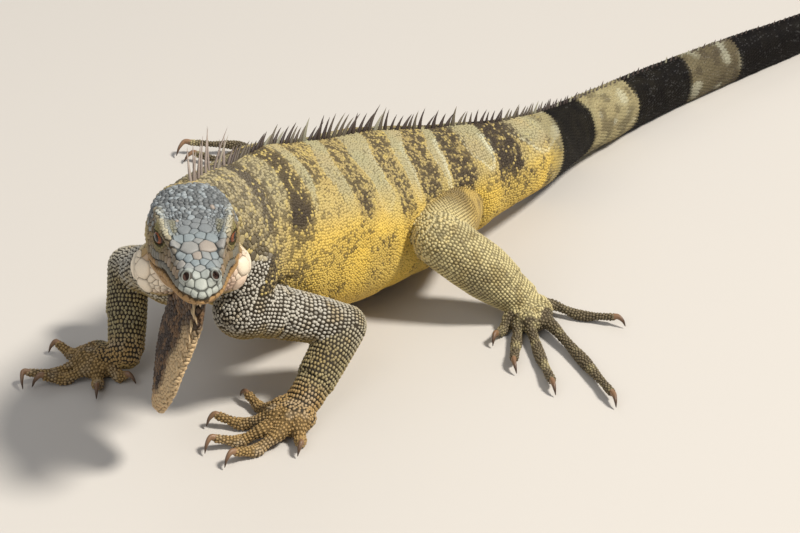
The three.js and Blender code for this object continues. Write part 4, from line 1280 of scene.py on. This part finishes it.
def dewlap_tint(places):
    """The colour of the dewlap: dark and brown, partly painted shade, paler towards its tip, with
    painted light along its front edge.
    """
    _, ahead, up = into_head(places).T
    blotch = 0.6 * drift(places, 5, 22) + 0.4 * dice.random(len(places))
    # Dark and brown blotches: the dewlap's own colour, darkened by painted shade.
    tints = mix(DEWLAP_DARK_AND_SHADE, DEWLAP_BROWN, ease(0.4, 0.78, blotch))
    front = np.interp(-up, [10, 32, 48, 62, 76, 88], [41, 44, 43, 40, 36, 30])
    # Painted light: a pale strip along the front edge, where the dewlap's lit face shows.
    lit_strip = ease(-6, 0, ahead - front + 4 * (drift(places, 7, 26) - 0.5))
    tints = mix(tints, DEWLAP_LIT_EDGE, lit_strip * ease(30, 42, -up) * 0.9)
    return mix(tints, DEWLAP_TIP, ease(72, 88, -up) * ease(0.35, 0.6, blotch) * 0.8)


def scale_tint(places, outward):
    """The colour of the scales at any places of the skin."""
    owner = owners_of(places)
    tints = np.zeros((len(places), 3))
    for number, name in enumerate(OWNERS):
        mine = np.flatnonzero(owner == number)
        if not len(mine):
            continue
        lengths, turns, _ = ROUTES[name].depth(places[mine])
        if name == "body":
            tints[mine] = body_tint(places[mine], lengths, turns)
        elif name == "head":
            tints[mine] = head_tint(places[mine])
        elif name == "dewlap":
            tints[mine] = dewlap_tint(places[mine])
        else:
            tints[mine] = limb_tint(places[mine], outward[mine], name, lengths)
    trunk = owner == ON_BODY
    grain = ease(0.7, 1, dice.random(len(places)))
    beads = mix(BEAD * 1.1, ARM_DARK * 1.6, grain * 0.5)
    return mix(tints, beads, shoulder_share(places) * trunk)


def skin_tint():
    """The skin's own colour: its scales' colour, darker, as it shows in the seams."""
    owner = np.array(OWNERS)[owners_of(SKIN_PLACES)]
    tints = scale_tint(SKIN_PLACES, SKIN_NORMALS) * np.where(owner == "body", 0.68, 0.5)[:, None]
    arm = np.char.find(owner, "arm") >= 0
    under = ease(0.1, 0.75, -SKIN_NORMALS[arm, 2])
    tints[arm] = mix(ARM_DARK, OLIVE * 0.6, under)
    tints = mix(tints, ARM_DARK, shoulder_share(SKIN_PLACES) * (owner == "body"))
    plated = np.flatnonzero(owner == "head")
    _, _, up = into_head(SKIN_PLACES[plated]).T
    tints[plated] *= (1 - 0.45 * ease(-4, 0, up))[:, None]
    for sign in (1, -1):
        ear = from_side(sign, EAR["ahead"], EAR["up"])
        disc = 1 - ease(EAR["radius"] - 1.2, EAR["radius"], np.linalg.norm(SKIN_PLACES - ear, axis=1))
        tints = mix(tints, EAR_DISC, disc * 0.8)
    for sign in (1, -1):
        nostril, _ = NOSTRILS[sign]
        dark = 1 - ease(1.8, 3.4, np.linalg.norm(SKIN_PLACES - nostril, axis=1))
        tints = mix(tints, NOSTRIL_INSIDE, dark)
        slit = 1 - ease(0.7, 1.5, apart_from(SKIN_PLACES[HEAD_PART], eye_rim(sign, *EYE_SLIT)))
        tints[HEAD_PART] = mix(tints[HEAD_PART], LID_EDGE, slit)
    lips = 1 - ease(0.3, 0.8, apart_from(SKIN_PLACES[HEAD_PART], MOUTH_LINE))
    tints[HEAD_PART] = mix(tints[HEAD_PART], LIP_SEAM, lips)
    return tints


# ------------------------------------------------------------------ scales fitted together


def skin_samples(faces, apart):
    """Places strewn over chosen triangles of the skin, so far apart as a number a triangle says."""
    corners = SKIN_PLACES[SKIN_TRIANGLES[faces]]
    area = np.linalg.norm(np.cross(corners[:, 1] - corners[:, 0], corners[:, 2] - corners[:, 0]),
                          axis=1) / 2
    wanted = area / apart ** 2
    picked = dice.choice(len(faces), round(wanted.sum() * 9), p=wanted / wanted.sum())
    split = dice.random((len(picked), 2))
    over = split.sum(1) > 1
    split[over] = 1 - split[over]
    start = corners[picked, 0]
    return (start + (corners[picked, 1] - start) * split[:, :1]
            + (corners[picked, 2] - start) * split[:, 1:])


def spread_out(places, apart, standing):
    """The numbers of places that stay when each needs its own room from those before it."""
    kept = []
    open_places = np.arange(len(places))
    if len(standing):
        tree = tree_of(standing)
        free = [not tree.find_range(places[number], apart[number] * 0.8) for number in open_places]
        open_places = open_places[free]
    for batch in np.array_split(open_places, max(1, len(open_places) // 1500)):
        tree = tree_of(places[kept]) if kept else None
        near = tree_of(places[batch])
        blocked = set()
        for number, index in enumerate(batch):
            if number in blocked or (tree and tree.find_range(places[index], apart[index])):
                continue
            kept.append(index)
            blocked.update(other for _, other, _ in near.find_range(places[index], apart[index]))
    return np.array(kept)


def on_skin(places):
    """The nearest points of the skin and its directions outwards there."""
    found = [SURFACE.find_nearest(Vector(place)) for place in places]
    return np.array([hit[0] for hit in found]), np.array([hit[1] for hit in found])


def settle_seeds(seeds, samples, fixed, rounds=2):
    """Moves free seeds to the middle of the places that are nearest to them."""
    for _ in range(rounds):
        everything = np.concatenate([seeds, fixed]) if len(fixed) else seeds
        tree = tree_of(everything)
        nearest = np.array([tree.find(place)[1] for place in samples])
        counts = np.bincount(nearest, minlength=len(everything))[:len(seeds)]
        sums = np.stack([np.bincount(nearest, samples[:, axis], len(everything))[:len(seeds)]
                         for axis in range(3)], 1)
        moved = np.where(counts[:, None] > 2, sums / np.maximum(counts, 1)[:, None], seeds)
        seeds, _ = on_skin(seeds * 0.2 + moved * 0.8)
    return seeds


def cut_back(outline, aside, ahead, limit):
    """An outline's corners left of a straight cut across it."""
    kept = []
    for number, end in enumerate(outline):
        start = outline[number - 1]
        before = start[0] * aside + start[1] * ahead - limit
        after = end[0] * aside + end[1] * ahead - limit
        if (before <= 0) != (after <= 0):
            share = before / (before - after)
            kept.append((start[0] + (end[0] - start[0]) * share,
                         start[1] + (end[1] - start[1]) * share))
        if after <= 0:
            kept.append(end)
    return kept


def rounded(outline):
    """An outline with every corner cut off by a short edge."""
    corners = []
    for number, end in enumerate(outline):
        start = outline[number - 1]
        for share in (0.14, 0.86):
            corners.append((start[0] + (end[0] - start[0]) * share,
                            start[1] + (end[1] - start[1]) * share))
    return corners


def nearest_skin(place):
    """The nearest point of the skin to a place."""
    return np.array(SURFACE.find_nearest(Vector(place))[0])


def laid_on(seed, arm):
    """The place on the skin as far from a seed as an arm laid flat beside it reaches."""
    place = nearest_skin(seed + arm)
    reach = np.linalg.norm(place - seed)
    if reach < 3:
        return place
    stretched = arm * min(np.linalg.norm(arm) / reach, 1.3)
    return nearest_skin(seed + stretched)


# A scale's rings from its root inwards: the share of its outline, and how high it stands.
SMALL_RINGS = [(1.03, -0.35), (0.86, 0.62)]
BIG_RINGS = [(1.02, -0.4), (0.975, 0.4), (0.84, 0.84), (0.45, 0.98)]
BIG_FROM = 2.9                  # the width from which a plate has the rounder rings
LAID_FROM = 1.9                 # the width from which its corners are laid on the skin


def fit_plates(name, seeds, outward, sizes, first_free, tints, heights, charts, seam=0.09):
    """Scales that meet along seams: one on each seed up to first_free, the rest only hem them."""
    tree = tree_of(seeds)
    across = unit(np.cross(outward, np.array(HEAD_UP) + (0.01, 0.02, 0)))
    along = np.cross(outward, across)
    places, faces, colours, uvs, rise = [], [], [], [], []
    for number in range(first_free):
        size = sizes[number]
        half = size * 0.8
        outline = [(-half, -half), (half, -half), (half, half), (-half, half)]
        for _, other, distance in tree.find_n(seeds[number], 44)[1:]:
            if outward[number] @ outward[other] < -0.1:
                continue
            offset = seeds[other] - seeds[number]
            x, y = float(offset @ across[number]), float(offset @ along[number])
            flat = math.hypot(x, y)
            if flat < 0.2:
                continue
            limit = (distance ** 2 + (size ** 2 - sizes[other] ** 2) / 4) / (2 * distance)
            limit -= seam * min(1, size / 3)
            if limit < size * 1.15 and outline:
                outline = cut_back(outline, x / flat, y / flat, limit)
        if len(outline) < 3:
            continue
        big = size > BIG_FROM
        if big:
            outline = rounded(outline)
        middle = np.mean(outline, 0)
        flat = np.array(outline) - middle
        rings = BIG_RINGS if big else SMALL_RINGS
        count = len(outline)
        start = len(places)
        height = heights[number]
        for share, level in rings:
            spots = middle + flat * share
            for spot in spots:
                arm = across[number] * spot[0] + along[number] * spot[1]
                place = seeds[number] + arm
                if size > LAID_FROM:
                    place = laid_on(seeds[number], arm)
                places.append(place + outward[number] * (level * height))
                uvs.append(charts[number] + PATCH * spot / size)
                rise.append(max(level, 0))
        top = seeds[number] + across[number] * middle[0] + along[number] * middle[1]
        if size > LAID_FROM:
            top = nearest_skin(top)
        places.append(top + outward[number] * height)
        uvs.append(charts[number] + PATCH * middle / size)
        rise.append(1.0)
        for ring in range(len(rings) - 1):
            for corner in range(count):
                low, high = start + ring * count, start + (ring + 1) * count
                after = (corner + 1) % count
                faces.append((low + corner, low + after, high + after, high + corner))
        last = start + (len(rings) - 1) * count
        faces += [(last + corner, last + (corner + 1) % count, len(places) - 1)
                  for corner in range(count)]
        colours += [tints[number]] * (len(places) - start)
    return settle(name, np.array(places), faces, np.array(colours), np.array(uvs), np.array(rise))


# ------------------------------------------------------------------ head

# Plates on top of the snout: aside, ahead and width.  The nostrils lie outside the first two.
SNOUT_PLATES = [
    (0, 75.4, 5), (-2.1, 71.4, 3.4), (2.1, 71, 3.4), (0, 67.9, 3.4), (-9.2, 67.4, 3.6),
    (9.2, 67.2, 3.6), (-5.4, 66.2, 4), (5.3, 66, 4), (-2, 64.4, 3.6), (2.2, 64, 3.6),
    (-8.9, 62.6, 4.4), (8.7, 62.8, 4.4), (-5, 61, 4), (-0.8, 60.4, 4.2), (3.6, 60, 4.4),
    (7.6, 58.6, 4.2), (-8.6, 57.8, 4.4), (11.2, 57, 4), (-11.6, 56.4, 3.8), (-4.2, 53.8, 8.2),
    (4.7, 53.4, 8.2), (-10.8, 51.4, 5.4), (11.2, 51.6, 5.2), (0.2, 49.4, 3.6), (-9.6, 46.2, 6.4),
    (-4, 46.6, 5.4), (1.7, 45.4, 5.2), (7.2, 46.6, 6.4), (12, 46.4, 4.2), (-1.4, 42.2, 3.8),
    (-5.8, 40, 6.4), (4.6, 39.8, 6.6), (-0.6, 37.4, 3.8), (-4.4, 34.6, 3.8), (0.6, 33.4, 3.6),
    (4.6, 34.6, 3.2), (-2, 30.6, 3.2), (2.2, 30.2, 3), (-4.6, 29.2, 2.8), (0, 27.4, 2.8),
    (4.4, 28.6, 2.6)]
# Plates of the cheek: ahead, up and width, the great one under the ear first.
JOWL_PLATES = [
    (2, -21.6, 16), (15.2, -17.2, 9.8), (15.8, -26.8, 9.4), (24.6, -19.4, 7.4), (31, -15.6, 5.6),
    (36.6, -12.6, 4.8), (-2.4, -10.6, 4.6), (4, -10.2, 4.4), (10, -9.6, 4.4), (17, -9.8, 4.6),
    (23.8, -10.8, 4.8), (41.6, -10.4, 4.4), (24.6, -27, 6), (8, -33, 5.4), (31.4, -21.6, 5),
    (-10, -15.6, 4.8), (-10.4, -24.6, 5), (-1, -33, 5.4)]


# Widths that the plates keep clear at a nostril, an ear and each place of a lid's hem and the mouth.
NOSTRIL_ROOM, EAR_ROOM, EYE_HEM_ROOM, MOUTH_ROOM = 4.9, 10.8, 1.1, 0.4
# Rows along the lips: how far above or below the mouth each runs, and its plates' width.
LIP_ROWS = ((2.3, 4.3), (-2.4, 4.2), (6.3, 4.0), (-6.6, 4.6))


def dropped(aside, ahead):
    """Where a point over the head comes down on the skin."""
    start = from_head((aside, ahead, 40))
    return struck(SURFACE, start, -HEAD_UP)


def from_side(sign, ahead, up):
    """Where a level ray from one side of the head meets the skin."""
    start, end = from_head((sign * 50, ahead, up)), from_head((0, ahead, up))
    return struck(SURFACE, start, end - start)


def eye_rim(sign, wide, high):
    """Places round the opening between the lids."""
    middle = from_head(eye_middle(sign))
    outward = eye_outward(sign)
    ahead = unit(np.cross(HEAD_UP, outward))
    points = []
    for turn in np.arange(EYE_HEM_PLACES) / EYE_HEM_PLACES * 2 * math.pi:
        spot = middle + ahead * wide * math.cos(turn) + HEAD_UP * high * math.sin(turn)
        points.append(struck(SURFACE, spot + outward * 20, -outward))
    return np.array(points)


def placed_plates():
    """The plates that are set one by one, and what hems the rest: nostrils, lips, lids and ears."""
    plates, widths = [], []
    for aside, ahead, width in SNOUT_PLATES:
        plates.append(dropped(aside, ahead))
        widths.append(width)
    for sign in (1, -1):
        for ahead, up, width in JOWL_PLATES:
            plates.append(from_side(sign, ahead + draw.uniform(-0.8, 0.8), up))
            widths.append(width)
    line = MOUTH_LINE[::2]
    along = np.concatenate([[0], np.cumsum(np.linalg.norm(np.diff(line, axis=0), axis=1))])
    for height, step in LIP_ROWS:
        for length in np.arange(4, along[-1] - 4, step):
            point = np.array([np.interp(length, along, line[:, axis]) for axis in range(3)])
            place, _ = on_skin([point + HEAD_UP * height])
            gaps = np.linalg.norm(np.array(plates) - place, axis=1)
            if (gaps > (np.array(widths) + step) * 0.44).all():
                plates.append(place[0])
                widths.append(step)
    hems, rooms = [], []
    for sign in (1, -1):
        hems += [NOSTRILS[sign][0], from_side(sign, EAR["ahead"], EAR["up"]),
                 *eye_rim(sign, *EYE_HEM)]
        rooms += [NOSTRIL_ROOM, EAR_ROOM, *[EYE_HEM_ROOM] * EYE_HEM_PLACES]
    hems += list(MOUTH_LINE)
    rooms += [MOUTH_ROOM] * len(MOUTH_LINE)
    return np.array(plates), np.array(widths), np.array(hems), np.array(rooms)


def head_room(places):
    """How far apart the head's smaller scales stand."""
    aside, ahead, up = into_head(places).T
    aside = np.abs(aside)
    room = np.full(len(places), 2.2)
    room = np.where(ahead > 38, 3.2, room)
    room = np.where((up > 10) & (np.hypot((aside - 10.5) / 6.5, (ahead - 36) / 12) < 1), 1.5, room)
    lids = np.hypot(ahead - EYE["ahead"], (up - EYE["up"]) * 1.2)
    room = np.where((aside > 12) & (lids < 9.5), 1.3, room)
    room = np.where((up < -9) & (ahead > -6), 3.0, room)
    room = np.where(up < -24, 2.4, room)
    room = np.where(up < -36, 1.9, room)
    return np.where((ahead < -6) & (up > -20), 1.95, room)


def in_mosaic(places):
    """Whether a place is covered with scales fitted together: the head, dewlap and nape."""
    owner = owners_of(places)
    trunk = owner == ON_BODY
    mask = (owner == ON_HEAD) | (owner == ON_DEWLAP)
    body = np.flatnonzero(trunk & (places[:, 1] < -120))
    lengths, _, _ = ROUTES["body"].depth(places[body])
    mask[body[lengths < NECK_END + 1]] = True
    return mask & ~(trunk & (shoulder_share(places) > 0.5))


def head_scales():
    """Plates and granules that cover the head, the throat and the dewlap."""
    plates, widths, hems, rooms = placed_plates()
    faces = np.flatnonzero(MOSAIC)
    samples = skin_samples(faces, head_room(MIDDLES[faces]))
    apart = head_room(samples)
    standing = np.concatenate([plates, hems])
    size = np.concatenate([widths, rooms])
    gaps = np.full(len(samples), np.inf)
    for place, reach in zip(standing, size):
        gaps = np.minimum(gaps, np.linalg.norm(samples - place, axis=1) - reach / 2)
    samples, apart = samples[gaps > apart * 0.42], apart[gaps > apart * 0.42]
    chosen = spread_out(samples, apart * 0.86, RING_ROOTS)
    seeds = settle_seeds(samples[chosen], samples, np.concatenate([standing, RING_ROOTS]))
    everything = np.concatenate([plates, seeds, hems, RING_ROOTS])
    sizes = np.concatenate([widths, head_room(seeds), rooms, np.full(len(RING_ROOTS), 1.8)])
    outward = smooth_outward(everything)
    count = len(plates) + len(seeds)
    local = into_head(everything[:count])
    own = sizes[:count]
    tints = mosaic_tint(everything[:count], outward[:count], own)
    heights = np.interp(own, [1.2, 2.2, 4, 8, 13], [0.34, 0.55, 0.6, 0.9, 1.9])
    rough = (local[:, 2] > 9) & (local[:, 1] < 30)
    heights = heights * np.where(rough, dice.uniform(0.8, 2.1, count), 1)
    heights = heights * np.where(local[:, 2] < -34, dice.uniform(1.2, 2.2, count), 1)
    charts = np.stack([0.03 + 0.94 * (local[:, 1] + 20) / 110,
                       0.5 + 0.46 * np.arctan2(local[:, 0], local[:, 2] + 4) / math.pi], 1)
    return [fit_plates("head_scales", everything, outward, sizes, count, tints, heights, charts)]


def smooth_outward(places):
    """Directions outwards, averaged over the skin's corners round each place."""
    return unit(np.array([SKIN_NORMALS[[number for _, number, _ in SKIN_TREE.find_n(place, 8)]]
                          .mean(0) for place in places]))


def mosaic_tint(places, outward, sizes):
    """The colours of the fitted scales, with each of the head's plates a little its own, and painted
    highlights on some of the crown's granules.
    """
    tints = scale_tint(places, outward)
    _, ahead, up = into_head(places).T
    on_head = owners_of(places) == ON_HEAD
    own = dice.random(len(places))
    crown = on_head & (up > 8) & (ahead < 32) & (ahead > -4)
    tints = mix(tints, tints * 0.55, (own < 0.5) * crown * 0.8)
    # Painted highlights: about a fifth of the crown's granules are paled towards a blue-grey glint.
    tints = mix(tints, CROWN_GLINT, (own > 0.78) * crown * 0.55)
    tints = mix(tints, PINKISH, (own > 0.985) * crown * 0.7)
    pink = on_head * ease(46, 52, ahead) * (1 - ease(66, 71, ahead)) * (up > 3)
    tints = mix(tints, PINKISH, pink * ease(0.35, 0.7, drift(places, 5, 24)) * 0.6)
    return mix(tints, tints * 0.78, dice.random(len(places)) * 0.6 * (sizes < 9))


def joint_room(places):
    """How far apart the granules stand where rings leave off: wide on the shoulders."""
    near = np.min([np.linalg.norm(places - arm["shoulder"], axis=1) for arm in ARMS.values()], 0)
    return 1.75 + 0.35 * (1 - ease(18, 30, near))


def fill_bare():
    """Granules wherever the rings leave the skin bare, as round the roots of the limbs."""
    tree = tree_of(RING_ROOTS)
    faces = np.flatnonzero(~MOSAIC & (MIDDLES[:, 2] > 1.2))
    gap = np.array([tree.find(place)[2] for place in MIDDLES[faces]])
    faces = faces[gap > 1.5]
    samples = skin_samples(faces, joint_room(MIDDLES[faces]))
    chosen = spread_out(samples, joint_room(samples) * 0.78, RING_ROOTS)
    seeds = settle_seeds(samples[chosen], samples, RING_ROOTS, 3)
    outward = smooth_outward(seeds)
    tints = scale_tint(seeds, outward)
    local = (seeds - SKIN_PLACES.min(0)) / np.ptp(SKIN_PLACES, axis=0)
    along = unit(np.cross(outward, (0.3, 0.2, 1)))
    sizes = joint_room(seeds)[:, None] * np.array([[0.95, 0.95, 0.27]])
    sizes *= dice.uniform(0.9, 1.1, (len(seeds), 1))
    return strew("joint_scales", KNOB, (seeds, along, outward), sizes, tints,
                 np.stack([local[:, 1], local[:, 0]], 1) * 0.96 + 0.02)


# ------------------------------------------------------------------ dewlap spines and rims


# How far down the dewlap's front edge each soft spine stands, and its height.
GULAR = [(0.03, 6), (0.09, 9), (0.14, 7.5), (0.19, 10), (0.26, 8.5), (0.33, 6), (0.41, 7), (0.5, 4.5),
         (0.6, 3.4), (0.71, 2.6), (0.82, 2.2)]
CHIN_SPINE_HIGH = 3.5


def make_gular_spines():
    """Soft spines down the front edge of the dewlap and under the chin."""
    rows = []
    for share, high in GULAR:
        number = share * (len(DEWLAP) - 1)
        ahead, aside, up, *_ = (np.interp(number, range(len(DEWLAP)), column)
                                for column in zip(*DEWLAP))
        start, end = from_head((aside, ahead, up)), from_head((aside, ahead + 60, up))
        hit = struck(SURFACE, start, end - start)
        if hit is not None:
            rows.append((hit, end - start, high))
    for ahead in np.linspace(46, 66, 6):
        start, end = from_head((0, ahead, -4)), from_head((0, ahead + 2, -40))
        rows.append((struck(SURFACE, start, end - start), end - start, CHIN_SPINE_HIGH))
    places = np.array([row[0] for row in rows])
    outward = unit(np.array([row[1] for row in rows]) + dice.normal(0, 6, (len(rows), 3)))
    high = np.array([row[2] for row in rows]) * dice.uniform(0.75, 1.15, len(rows))
    along = np.tile(-HEAD_UP, (len(rows), 1)) + outward * 0.01
    sizes = np.stack([np.full(len(rows), 2.0), np.full(len(rows), 3.0), high + 1], 1)
    tints = mix(GULAR_PALE, GULAR_BROWN, dice.random(len(rows)) * 0.6)

    def droop(spread):
        share = spread[..., 2] / sizes[:, 2:3]
        spread[..., 1] += high[:, None] * 0.45 * share ** 1.6
        return spread

    charts = np.stack([np.linspace(0.05, 0.95, len(rows)), np.full(len(rows), 0.5)], 1)
    return strew("gular_spines", BLADE, (places - outward, along, outward), sizes, tints, charts,
                 droop)


def make_rings(name, spots, tint):
    """Raised oval rims, none quite even: place, outward, radius and thickness of each."""
    form = bmesh.new()
    for place, outward, radius, thick in spots:
        turn = Vector(outward).to_track_quat("Z", "Y").to_matrix().to_4x4()
        matrix = Matrix.Translation(place) @ turn @ Matrix.Diagonal((0.86, 1.18, 0.8, 1))
        earlier = set(form.verts)
        start = bmesh.ops.create_circle(form, segments=10, radius=thick)["verts"]
        bmesh.ops.rotate(form, verts=start, matrix=Matrix.Rotation(math.pi / 2, 3, "X"))
        bmesh.ops.translate(form, verts=start, vec=(radius, 0, 0))
        edges = list({edge for vert in start for edge in vert.link_edges})
        bmesh.ops.spin(form, geom=start + edges, cent=(0, 0, 0), axis=(0, 0, 1),
                       angle=2 * math.pi, steps=28, use_merge=True)
        ring = [vert for vert in form.verts if vert not in earlier]
        for vert in ring:
            vert.co *= 1 + 0.22 * (drift(np.array([vert.co]), 1.6, 27 + len(form.verts))[0] - 0.5)
        bmesh.ops.transform(form, matrix=matrix, verts=ring)
    bmesh.ops.recalc_face_normals(form, faces=form.faces)
    places, faces = taken_out(form)
    return settle(name, places, faces.tolist(), tint, rise=np.ones(len(places)))


def make_nostril_rims():
    """A pale raised rim round each nostril."""
    spots = [(place - way * 0.15, way, NOSTRIL["radius"] + 0.2, 0.42)
             for place, way in NOSTRILS.values()]
    return make_rings("nostril_rims", spots, NOSTRIL_RIM)


# ------------------------------------------------------------------ materials


class Signal:
    """A socket of a material, on which ordinary arithmetic adds Math nodes."""

    def __init__(self, paint, socket):
        self.paint, self.socket = paint, socket

    def maths(self, operation, *values):
        return self.paint.node("Math", {"operation": operation}, dict(enumerate(values)))

    def __add__(self, other):
        return self.maths("ADD", self, other)

    def __radd__(self, other):
        return self.maths("ADD", other, self)

    def __sub__(self, other):
        return self.maths("SUBTRACT", self, other)

    def __rsub__(self, other):
        return self.maths("SUBTRACT", other, self)

    def __mul__(self, other):
        return self.maths("MULTIPLY", self, other)

    def __rmul__(self, other):
        return self.maths("MULTIPLY", other, self)


class Paint:
    """One material and the nodes that feed its surface shader."""

    def __init__(self, name):
        self.material = bpy.data.materials.new(name)
        self.material.use_nodes = True
        self.nodes = self.material.node_tree.nodes
        self.links = self.material.node_tree.links
        self.shader = self.nodes["Principled BSDF"]

    def node(self, kind, settings=None, inputs=None, output=0):
        made = self.nodes.new(f"ShaderNode{kind}")
        for key, value in (settings or {}).items():
            setattr(made, key, value)
        for key, value in (inputs or {}).items():
            self.feed(made.inputs[key], value)
        return Signal(self, made.outputs[output])

    def feed(self, socket, value):
        if isinstance(value, Signal):
            self.links.new(value.socket, socket)
        elif socket.type == "RGBA":
            socket.default_value = (*value, 1)
        else:
            socket.default_value = value

    def attribute(self, name, output="Fac"):
        return self.node("Attribute", {"attribute_name": name}, output=output)

    def blotches(self, scale, detail=3.0, output=0):
        """Noise of so many features a metre, on the piece's own coordinates."""
        place = self.node("TexCoord", output="Object")
        return self.node("TexNoise", {}, {"Vector": place, "Scale": scale, "Detail": detail},
                         output=output)

    def band(self, value, low, high, to_low=0.0, to_high=1.0):
        """A number carried smoothly from one range to another, and held at its ends."""
        return self.node("MapRange", {"interpolation_type": "SMOOTHSTEP"}, {
            "Value": value, "From Min": low, "From Max": high, "To Min": to_low,
            "To Max": to_high})

    def blend(self, share, low, high, way="MIX"):
        return self.node("Mix", {"data_type": "RGBA", "blend_type": way},
                         {0: share, 6: low, 7: high}, output=2)

    def bump(self, height, distance, strength=1.0):
        return self.node("Bump", {}, {"Height": height, "Distance": distance,
                                      "Strength": strength})

    def finish(self, **sockets):
        for key, value in sockets.items():
            self.feed(self.shader.inputs[key.replace("_", " ")], value)
        return self.material


def scaly(name, roughness=0.5, edge=0.45, gloss=0.45, grain=2600, depth=0.00012):
    """Horny scales: each its own tint, darker round its edge, with a fine grain."""
    paint = Paint(name)
    tint = paint.attribute("tint", "Color")
    rise = paint.attribute("rise")
    speckle = paint.blotches(grain)
    shade = paint.band(rise, 0.0, 0.75, edge, 1.0) * (0.82 + speckle * 0.36)
    base = paint.blend(1.0, tint, paint.node("CombineColor", {}, {0: shade, 1: shade, 2: shade}),
                       "MULTIPLY")
    return paint.finish(Base_Color=base, Roughness=roughness + speckle * 0.2,
                        Normal=paint.bump(speckle, depth), Specular_IOR_Level=gloss)


def bare_skin():
    """The skin that shows in the seams between scales, finely creased."""
    paint = Paint("bare_skin")
    tint = paint.attribute("tint", "Color")
    creases = paint.blotches(900)
    base = paint.blend(paint.band(creases, 0.35, 0.65), tint, paint.blend(
        1.0, tint, (0.6, 0.58, 0.55), "MULTIPLY"))
    return paint.finish(Base_Color=base, Roughness=0.62 + creases * 0.15,
                        Normal=paint.bump(creases, 0.0003), Specular_IOR_Level=0.2)


def iris(name):
    """Rings from the pupil outwards by how far a place is from the middle of the look."""
    paint = Paint(name)
    far = paint.attribute("rise")
    streaks = paint.blotches(2500, 2.0)
    ring = far + (streaks - 0.5) * 0.5
    red = paint.blend(paint.band(streaks, 0.3, 0.7), (0.1, 0.025, 0.012), (0.36, 0.11, 0.03))
    colour = paint.blend(paint.band(ring, 2.0, 2.3), (0.004, 0.003, 0.003), red)
    colour = paint.blend(paint.band(ring, 3.0, 3.8), colour, (0.04, 0.018, 0.012))
    return paint.finish(Base_Color=colour, Roughness=0.25, Specular_IOR_Level=0.2, Coat_Weight=0.3,
                        Coat_Roughness=0.04)


def wear(pieces, material, slot, *nodes):
    """Gives pieces their material and body, and hides the parts that the first one replaces; slot is
    not used.
    """
    for number, piece in enumerate(pieces):
        piece.data.materials.append(material)
        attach(piece, "root")
        if nodes and number == 0:
            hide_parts(*nodes)


FLESH_NODES = [
    "neck", "torso_front", "torso_middle", "torso_rear", "tail_root", "tail_second", "tail_third",
    "tail_fourth", "tail_fifth", "tail_sixth", "tail_end", "head", "dewlap",
    *(f"{part}_{side}" for part in ("upper_arm", "forearm", "thigh", "shank", "hand", "foot")
      for side in ("left", "right"))]
CLAW_NODES = [f"claw_{limb}_{side}_{number}" for limb in ("hand", "foot")
              for side in ("left", "right") for number in range(1, 6)]


def make_skin():
    """The skin of the whole animal, in one piece."""
    faces = [tuple(face.vertices) for face in skin_mesh.polygons]
    return settle("skin", SKIN_PLACES, faces, skin_tint())


# ------------------------------------------------------------------ stage


CAMERA = {"lens": 89.61, "sensor_width": 36, "clip_start": 0.02, "clip_end": 50}
CAMERA_AT = (674.396, -847.832, 582.344)


def place_camera():
    """A long lens from in front, above and to the animal's left."""
    data = bpy.data.cameras.new("camera")
    for key, value in CAMERA.items():
        setattr(data, key, value)
    camera = link("camera", data)
    place = Vector(to_part(CAMERA_AT))
    look = Vector(to_part((0, 0, 0))) - place
    camera.location = place
    camera.rotation_euler = look.to_track_quat("-Z", "Y").to_euler()
    bpy.context.scene.camera = camera


def add_light(name, place, aim, size, power, colour=(1, 1, 1)):
    """A round soft light at a place in metres, aimed at another."""
    data = bpy.data.lights.new(name, "AREA")
    data.shape, data.size = "DISK", size
    data.energy, data.color = power, colour
    light = link(name, data)
    light.location = place
    light.rotation_euler = (Vector(aim) - Vector(place)).to_track_quat("-Z", "Y").to_euler()


def set_stage():
    """The pale floor, the three lights and the dim, even light of the room."""
    floor_form = bmesh.new()
    bmesh.ops.create_grid(floor_form, x_segments=1, y_segments=1, size=6)
    mesh = bpy.data.meshes.new("floor")
    floor_form.to_mesh(mesh)
    floor_form.free()
    floor = link("floor", mesh)
    paint = Paint("floor")
    floor.data.materials.append(paint.finish(Base_Color=(0.56, 0.53, 0.49), Roughness=0.85))
    add_light("key", (2.7, 0.5, 3.85), (0, -0.4, 0.05), 0.9, 300, (1, 0.955, 0.88))
    add_light("fill", (0.3, -2.2, 1.5), (0, -0.4, 0.05), 1.8, 14, (0.95, 0.97, 1))
    add_light("back", (-1.8, 0.8, 1.6), (0, -0.2, 0.05), 1.6, 8)
    world = bpy.data.worlds.new("studio")
    world.use_nodes = True
    backing = world.node_tree.nodes["Background"]
    backing.inputs["Color"].default_value = (0.97, 0.97, 1, 1)
    backing.inputs["Strength"].default_value = 0.27
    bpy.context.scene.world = world
    bpy.context.scene.view_settings.view_transform = "Standard"


# ------------------------------------------------------------------ the animal put together


place_camera()
set_stage()
SCALES = scaly("horny_scales", 0.55, 0.8, 0.22)
RINGED = scaly("tail_horn", 0.5, 0.75, 0.1)
BEADS = scaly("limb_beads", 0.45, 0.42)
SPINES = scaly("crest_horn", 0.45, 0.75)
wear([make_skin()], bare_skin(), "body_scales", *FLESH_NODES)
ROOTS = []
trunk_scales, tail_scales = coat_body()
wear(trunk_scales, SCALES, "body_scales")
wear(tail_scales, RINGED, "body_scales")
wear(coat_limbs(), BEADS, "limb_scales")
RING_ROOTS = np.concatenate(ROOTS)
MIDDLES = SKIN_PLACES[SKIN_TRIANGLES].mean(1)
MOSAIC = in_mosaic(MIDDLES)
wear(fill_bare(), BEADS, "limb_scales")
wear(head_scales(), scaly("head_plates", 0.42, 0.6), "head_scales")
wear([make_nostril_rims()], scaly("nostril_horn", 0.4, 1.0), "head_scales")
wear(make_gular_spines(), SPINES, "dewlap_skin")
wear(make_crest(), SPINES, "body_scales")
wear([make_claws()], scaly("claw_horn", 0.3, 1.0), "claw", *CLAW_NODES)
for side, sign in (("left", 1), ("right", -1)):
    wear([make_eye(side, sign)], iris(f"iris_{side}"), "eye", f"eye_{side}")
